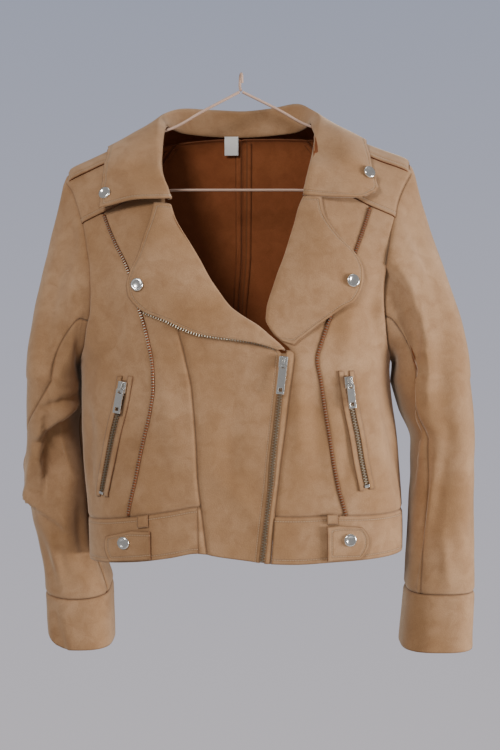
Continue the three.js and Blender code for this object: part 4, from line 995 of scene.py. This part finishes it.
def snap(name, point, normal):
    bm = bmesh.new()
    marks = [bm.verts.new((r, 0, h)) for r, h in snapSize["profile"]]
    edges = [bm.edges.new(pair) for pair in zip(marks, marks[1:])]
    bmesh.ops.spin(bm, geom=marks + edges, cent=(0, 0, 0), axis=(0, 0, 1), angle=math.tau,
                   steps=snapSize["steps"])
    bmesh.ops.remove_doubles(bm, verts=bm.verts, dist=0.001)
    bmesh.ops.recalc_face_normals(bm, faces=bm.faces)
    bm.transform(toMetres @ frameAt(point, normal, Vector((0, 0, 1))))
    finishMetal(name, bm, nodeOf(name), smooth=True)


# a spot lifted off a lapel or the collar, and its way out
def spotOn(place, s, t, lift):
    across = place(min(s + 0.01, 1), t) - place(s - 0.01, t)
    up = place(s, t + 0.01) - place(s, t - 0.01)
    normal = across.cross(up).normalized()
    if normal.y > 0:
        normal = -normal
    return place(s, t) + normal * lift, normal


snap("snapCollarRight", *spotOn(collarPlace, 1 - 0.928, 0.95 / 18, 5.0))
snap("snapCollarLeft", *spotOn(collarPlace, 1 - 0.896, 15.45 / 18, 0.5))
snap("snapLapelRight", *spotOn(lapelRight, 1 - 0.861, 1 - 5.24 / 12, 0.5))
snap("snapLapelLeft", *spotOn(lapelLeft, 0.861, 1 - 5.84 / 12, 0.5))
snap("snapWaistRight", onBody(-39.6, 0.047, lapped + 0.5), bodyNormal(-39.6, 0.047))
snap("snapWaistLeft", onBody(32.0, 0.050, lapped + 0.5), bodyNormal(32.0, 0.050))


def bodyTrack(path, v0, v1, lift):
    return lambda f: bodyFrame(path, mix(v0, v1, f), lift)


# teeth stand in two rows that mesh, or in one row on an open edge
trackSteps = 120


def teeth(name, spot, look, replaced=None):
    marks = [spot(n / trackSteps).translation for n in range(trackSteps + 1)]
    runs = [0.0]
    for a, b in zip(marks, marks[1:]):
        runs.append(runs[-1] + (b - a).length)
    count = int(runs[-1] / look["pitch"])
    bm = bmesh.new()
    k = 0
    for n in range(count):
        run = (n + 0.5) * runs[-1] / count
        while runs[k + 1] < run:
            k += 1
        held = spot((k + (run - runs[k]) / (runs[k + 1] - runs[k])) / trackSteps)
        side = (1 if n % 2 else -1) * look["offset"]
        tooth = Matrix.Diagonal((look["width"], look["along"], look["height"], 1))
        at = Matrix.Translation((side, 0, look["height"] / 2))
        bmesh.ops.create_cube(bm, size=1, matrix=toMetres @ held @ at @ tooth)
    bmesh.ops.bevel(bm, geom=bm.edges[:], offset=toothBevel * 0.001, affect="EDGES", segments=1, profile=0.5,
                    material=-1)
    finishMetal(name, bm, replaced, material=toothMetal)


toothBevel = 0.22
meshedTeeth = {"pitch": 1.5, "offset": 0.9, "width": 2.9, "along": 0.95, "height": 1.5}
openTeeth = {"pitch": 2.9, "offset": 0.0, "width": 3.0, "along": 1.0, "height": 1.2}
teeth("mainTeeth", bodyTrack(zipEdge.t, 0.004, 0.445, 0.6), meshedTeeth, "main_zip_chain")
teeth("pocketTeethRight", bodyTrack(pocketRight.t, 0.172, 0.412, 1.0), meshedTeeth, "pocket_zip_chain_right")
teeth("pocketTeethLeft", bodyTrack(pocketLeft.t, 0.177, 0.412, 1.0), meshedTeeth, "pocket_zip_chain_left")
teeth("trimTeethRight", bodyTrack(trimRight.t, 0.112, 0.825, 0.5), openTeeth, "zip_trim_right")
teeth("trimTeethLeft", bodyTrack(trimLeft.t, 0.106, 0.825, 0.5), openTeeth, "zip_trim_left")


def lapelEdge(f):
    k = mix(7.2, 11.9, f)
    t = 1 - k / 12
    point = lapelRight(0.0, t)
    along = lapelRight(0.0, max(t - 0.01, 0)) - lapelRight(0.0, min(t + 0.01, 1))
    inward = (lapelRight(0.04, t) - point).normalized()
    normal = inward.cross(along).normalized()
    if normal.y > 0:
        normal = -normal
    return frameAt(point - inward * 1.2 - normal * 1.6, normal, along)


teeth("lapelTeeth", lapelEdge, openTeeth)
print("snaps and teeth made")


# zip tapes and the welt frames of the pockets
weltSize = {"width": 6.4, "aside": 6.2, "lift": 1.5}


def tapePlace(path, v0, v1, width, lift, shift=0.0):
    def place(s, t):
        held = bodyFrame(path, mix(v0, v1, t), lift)
        return held @ Vector((shift + width * (s - 0.5), 0, 0))
    return place


for name, path, v0, v1, width, lift in (
        ("trimTapeRight", trimRight.t, 0.108, 0.83, 3.6, 0.25),
        ("trimTapeLeft", trimLeft.t, 0.104, 0.83, 3.6, 0.25),
        ("mainTape", zipEdge.t, 0.002, 0.455, 9.0, 0.0),
        ("pocketTapeRight", pocketRight.t, 0.166, 0.418, 7.5, 0.55),
        ("pocketTapeLeft", pocketLeft.t, 0.171, 0.418, 7.5, 0.55)):
    tape = layCloth(name, tapePlace(path, v0, v1, width, lift), (width, 500 * (v1 - v0)), "ffff", wall=0.8,
                    step=6, wrinkle=0, rests="centreFrontRight")
    tape.data.materials[0] = tapeCloth
for tag, path, v0, out in (("Right", pocketRight.t, 0.158, -1), ("Left", pocketLeft.t, 0.163, 1)):
    for edge, side in (("Outer", out), ("Inner", -out)):
        held = tapePlace(path, v0, 0.428, weltSize["width"], weltSize["lift"], side * weltSize["aside"])
        layCloth("pocketWelt" + tag + edge, held, (weltSize["width"], 125), "llll", wall=1.0, step=6,
                 wrinkle=0.3, rests="sideFrontRight")
print("tapes and welts laid")


# sliders, their bridges and the pockets' stops are blocks, each with its centre, size and bevel
metalBlocks = {
    "slider": [((0, -4.5, 0.6), (8.6, 12.4, 1.2), 0.4), ((0, -4.5, 2.0), (8.6, 12.4, 1.2), 0.5),
               ((-4.1, -4.5, 1.3), (1.2, 12.0, 2.4), 0.35), ((4.1, -4.5, 1.3), (1.2, 12.0, 2.4), 0.35),
               ((0, -0.2, 1.3), (4.0, 3.6, 2.2), 0.4)],
    "bridge": [((0, 0.2, 4.3), (2.6, 1.6, 3.4), 0.4), ((0, -5.2, 4.3), (2.6, 1.6, 3.4), 0.4),
               ((0, -2.5, 5.5), (2.6, 6.6, 1.2), 0.4)],
    "stop": [((0, 0, 1.0), (5.8, 3.2, 2.0), 0.4)]}
# the tab is a plate with a window for the bridge's loop and a square hole near its end
tabSize = {"half": 4.3, "holeHalf": 1.9, "hole": (2.6, 6.4), "window": (-4.6, -1.4), "thick": 1.4,
           "bevel": 0.35, "hang": (0, -6.6, 4.2)}


def blockSet(name, held, kind, node):
    bm = bmesh.new()
    for block in metalBlocks[kind]:
        addBlock(bm, held, *block)
    finishMetal(name, bm, node)


def pullTab(tag, node, held, length):
    bm = bmesh.new()
    bmesh.ops.create_grid(bm, x_segments=3, y_segments=5, size=0.5)
    half, hole = tabSize["half"], tabSize["holeHalf"]
    across = [-half, -hole, hole, half]
    down = [-length, *(mark - length for mark in tabSize["hole"]), *tabSize["window"], 0]
    for vert in bm.verts:
        vert.co.x, vert.co.y = (across[round((vert.co.x + 0.5) * 3)], down[round((vert.co.y + 0.5) * 5)])
    middles = [(down[n] + down[n + 1]) / 2 for n in (1, 3)]
    holes = [f for f in bm.faces if abs(f.calc_center_median().x) < hole
             and min(abs(f.calc_center_median().y - y) for y in middles) < 0.1]
    bmesh.ops.delete(bm, geom=holes, context="FACES_ONLY")
    raised = bmesh.ops.extrude_face_region(bm, geom=bm.faces[:])["geom"]
    bmesh.ops.translate(bm, vec=(0, 0, tabSize["thick"]),
                        verts=[v for v in raised if isinstance(v, bmesh.types.BMVert)])
    bmesh.ops.recalc_face_normals(bm, faces=bm.faces)
    sharp = [e for e in bm.edges if len(e.link_faces) == 2 and e.calc_face_angle(0) > 1]
    bmesh.ops.bevel(bm, geom=sharp, offset=tabSize["bevel"], affect="EDGES", segments=2, profile=0.5,
                    material=-1)
    bm.transform(toMetres @ held @ Matrix.Translation(tabSize["hang"]))
    finishMetal("pullTab" + tag, bm, "pull_tab_" + node, body="pull_" + node)


for tag, node, held, length in (("Main", "main", bodyFrame(zipEdge.t, 0.445, 1.6), 32),
                                ("PocketRight", "pocket_right", bodyFrame(pocketRight.t, 0.412, 2.6), 26),
                                ("PocketLeft", "pocket_left", bodyFrame(pocketLeft.t, 0.412, 2.6), 26)):
    blockSet("slider" + tag, held, "slider", "zip_slider_" + node)
    blockSet("bridge" + tag, held, "bridge", "slider_bridge_" + node)
    pullTab(tag, node, held, length)
for tag, path, v in (("Right", pocketRight.t, 0.1675), ("Left", pocketLeft.t, 0.1725)):
    blockSet("stopPocket" + tag, bodyFrame(path, v, 0.8), "stop", "zip_stop_pocket_" + tag.lower())
print("sliders, tabs and stops made")


# wire hanger: one tube bent into the frame and one into the hook
def wire(name, points, node):
    curve = bpy.data.curves.new(name, "CURVE")
    curve.dimensions = "3D"
    spline = curve.splines.new("BEZIER")
    spline.bezier_points.add(len(points) - 1)
    for knot, point in zip(spline.bezier_points, points):
        knot.co = Vector(point) * 0.001
        knot.handle_left_type = "AUTO"
        knot.handle_right_type = "AUTO"
    curve.resolution_u = 8
    curve.bevel_depth = 0.0016
    curve.bevel_resolution = 4
    curve.use_fill_caps = True
    held = bpy.data.objects.new(name + "Curve", curve)
    bpy.context.scene.collection.objects.link(held)
    made = bpy.data.meshes.new_from_object(held.evaluated_get(bpy.context.evaluated_depsgraph_get()))
    bpy.data.objects.remove(held)
    bpy.data.curves.remove(curve)
    made.materials.clear()
    made.materials.append(wireCoat)
    piece = bpy.data.objects.new(name, made)
    bpy.context.scene.collection.objects.link(piece)
    for face in made.polygons:
        face.use_smooth = True
    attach(piece, "jacket")
    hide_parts(node)


hangerSize = {"barDrop": 132, "barHalf": 176, "armEnd": 190, "reach": 8, "wire": 1.6}


def underStrip(x):
    return (x, 0, shoulderLine.z(x) + stripRise - 1.5 - hangerSize["wire"] - 1.1)


hidden = [105, 125, 145, 165, 182]
drop, half, end, reach = (hangerSize[k] for k in ("barDrop", "barHalf", "armEnd", "reach"))
wire("hangerFrame", [(-1.8, 0, -19), (-41, 0, -39.6), (-85, 0, -63)] + [underStrip(-x) for x in hidden]
     + [(-end, 0, -115), (-end + 2, 0, -126), (-half, 0, -drop), (-60, 0, -drop), (60, 0, -drop),
        (half, 0, -drop), (end - 2, 0, -124), (end, 0, -110)]
     + [underStrip(x) for x in reversed(hidden)] + [(83, 0, -59.5), (41, 0, -38.4), (1.8, 0, -19)],
     "hanger_frame")
wire("hangerHook", [(-0.4, 0.3, -17.0), (-1.3, 5.6, -11.2), (-1.2, reach, -6.4), (-0.8, reach * 0.72, -0.7),
                    (0, 0, 1.6), (0.8, -reach * 0.72, -0.7), (1.2, -reach, -6.4), (1.3, -reach * 0.9, -10.5)],
     "hanger_hook")
print("hanger bent")

# soft light from the front and the viewer's right, in a pale room that is brighter low down
studio = {
    "keyLight": {"place": (2.1, -0.62, -0.55), "size": 0.9, "power": 60, "colour": (1.0, 0.97, 0.93)},
    "fillLight": {"place": (-0.9, -2.0, 0.55), "size": 0.7, "power": 31, "colour": (1.0, 0.98, 0.95)},
    "topLight": {"place": (0.2, -0.1, 1.1), "size": 0.8, "power": 2, "colour": (1.0, 1.0, 1.0)}}
room = {"low": (0.590, 0.560, 0.600, 1), "high": (0.360, 0.390, 0.500, 1), "span": (-0.36, 0.36),
        "glow": (0.47, 0.46, 0.46, 1), "strength": 0.62}
middle = Vector((0.0, 0.0, -0.35))

for name, lamp in studio.items():
    light = bpy.data.lights.new(name, "AREA")
    light.shape = "DISK"
    light.size = lamp["size"]
    light.energy = lamp["power"]
    light.color = lamp["colour"]
    stand = bpy.data.objects.new(name, light)
    stand.location = lamp["place"]
    stand.rotation_euler = (middle - Vector(lamp["place"])).to_track_quat("-Z", "Y").to_euler()
    bpy.context.scene.collection.objects.link(stand)

world = bpy.data.worlds.new("room")
world.use_nodes = True
bpy.context.scene.world = world
tree = world.node_tree
ways = addNode(tree, "TexCoord", (-900, 0)).outputs["Generated"]
rise = addNode(tree, "SeparateXYZ", (-700, 0), {"Vector": ways}).outputs["Z"]
shade = mixOf(tree, (-300, 0), rangeOf(tree, (-500, 0), rise, room["span"]), room["low"], room["high"])
seen = addNode(tree, "Background", (-50, -200), {"Color": shade, "Strength": 1.0})
unseen = tree.nodes["Background"]
unseen.inputs["Color"].default_value = room["glow"]
unseen.inputs["Strength"].default_value = room["strength"]
ray = addNode(tree, "LightPath", (-50, 300)).outputs["Is Camera Ray"]
choice = addNode(tree, "MixShader", (200, 0), {
    "Fac": ray, 1: unseen.outputs["Background"], 2: seen.outputs["Background"]})
tree.links.new(choice.outputs["Shader"], tree.nodes["World Output"].inputs["Surface"])

bm = bmesh.new()
bmesh.ops.create_circle(bm, cap_ends=True, radius=1.5, segments=64, matrix=Matrix.Translation((0, 0, -1.6)))
floorMesh = bpy.data.meshes.new("floor")
bm.to_mesh(floorMesh)
bm.free()
pale = plainMaterial("paleFloor", {
    "metallic": 0.0, "scale": 8, "colour": (0.55, 0.56, 0.58, 1), "second": (0.58, 0.59, 0.61, 1),
    "smooth": 0.6, "rough": 0.8, "bump": 0.05})
floorMesh.materials.append(pale)
floor = bpy.data.objects.new("floor", floorMesh)
bpy.context.scene.collection.objects.link(floor)
print("lights and floor placed")

bpy.context.view_layer.update()
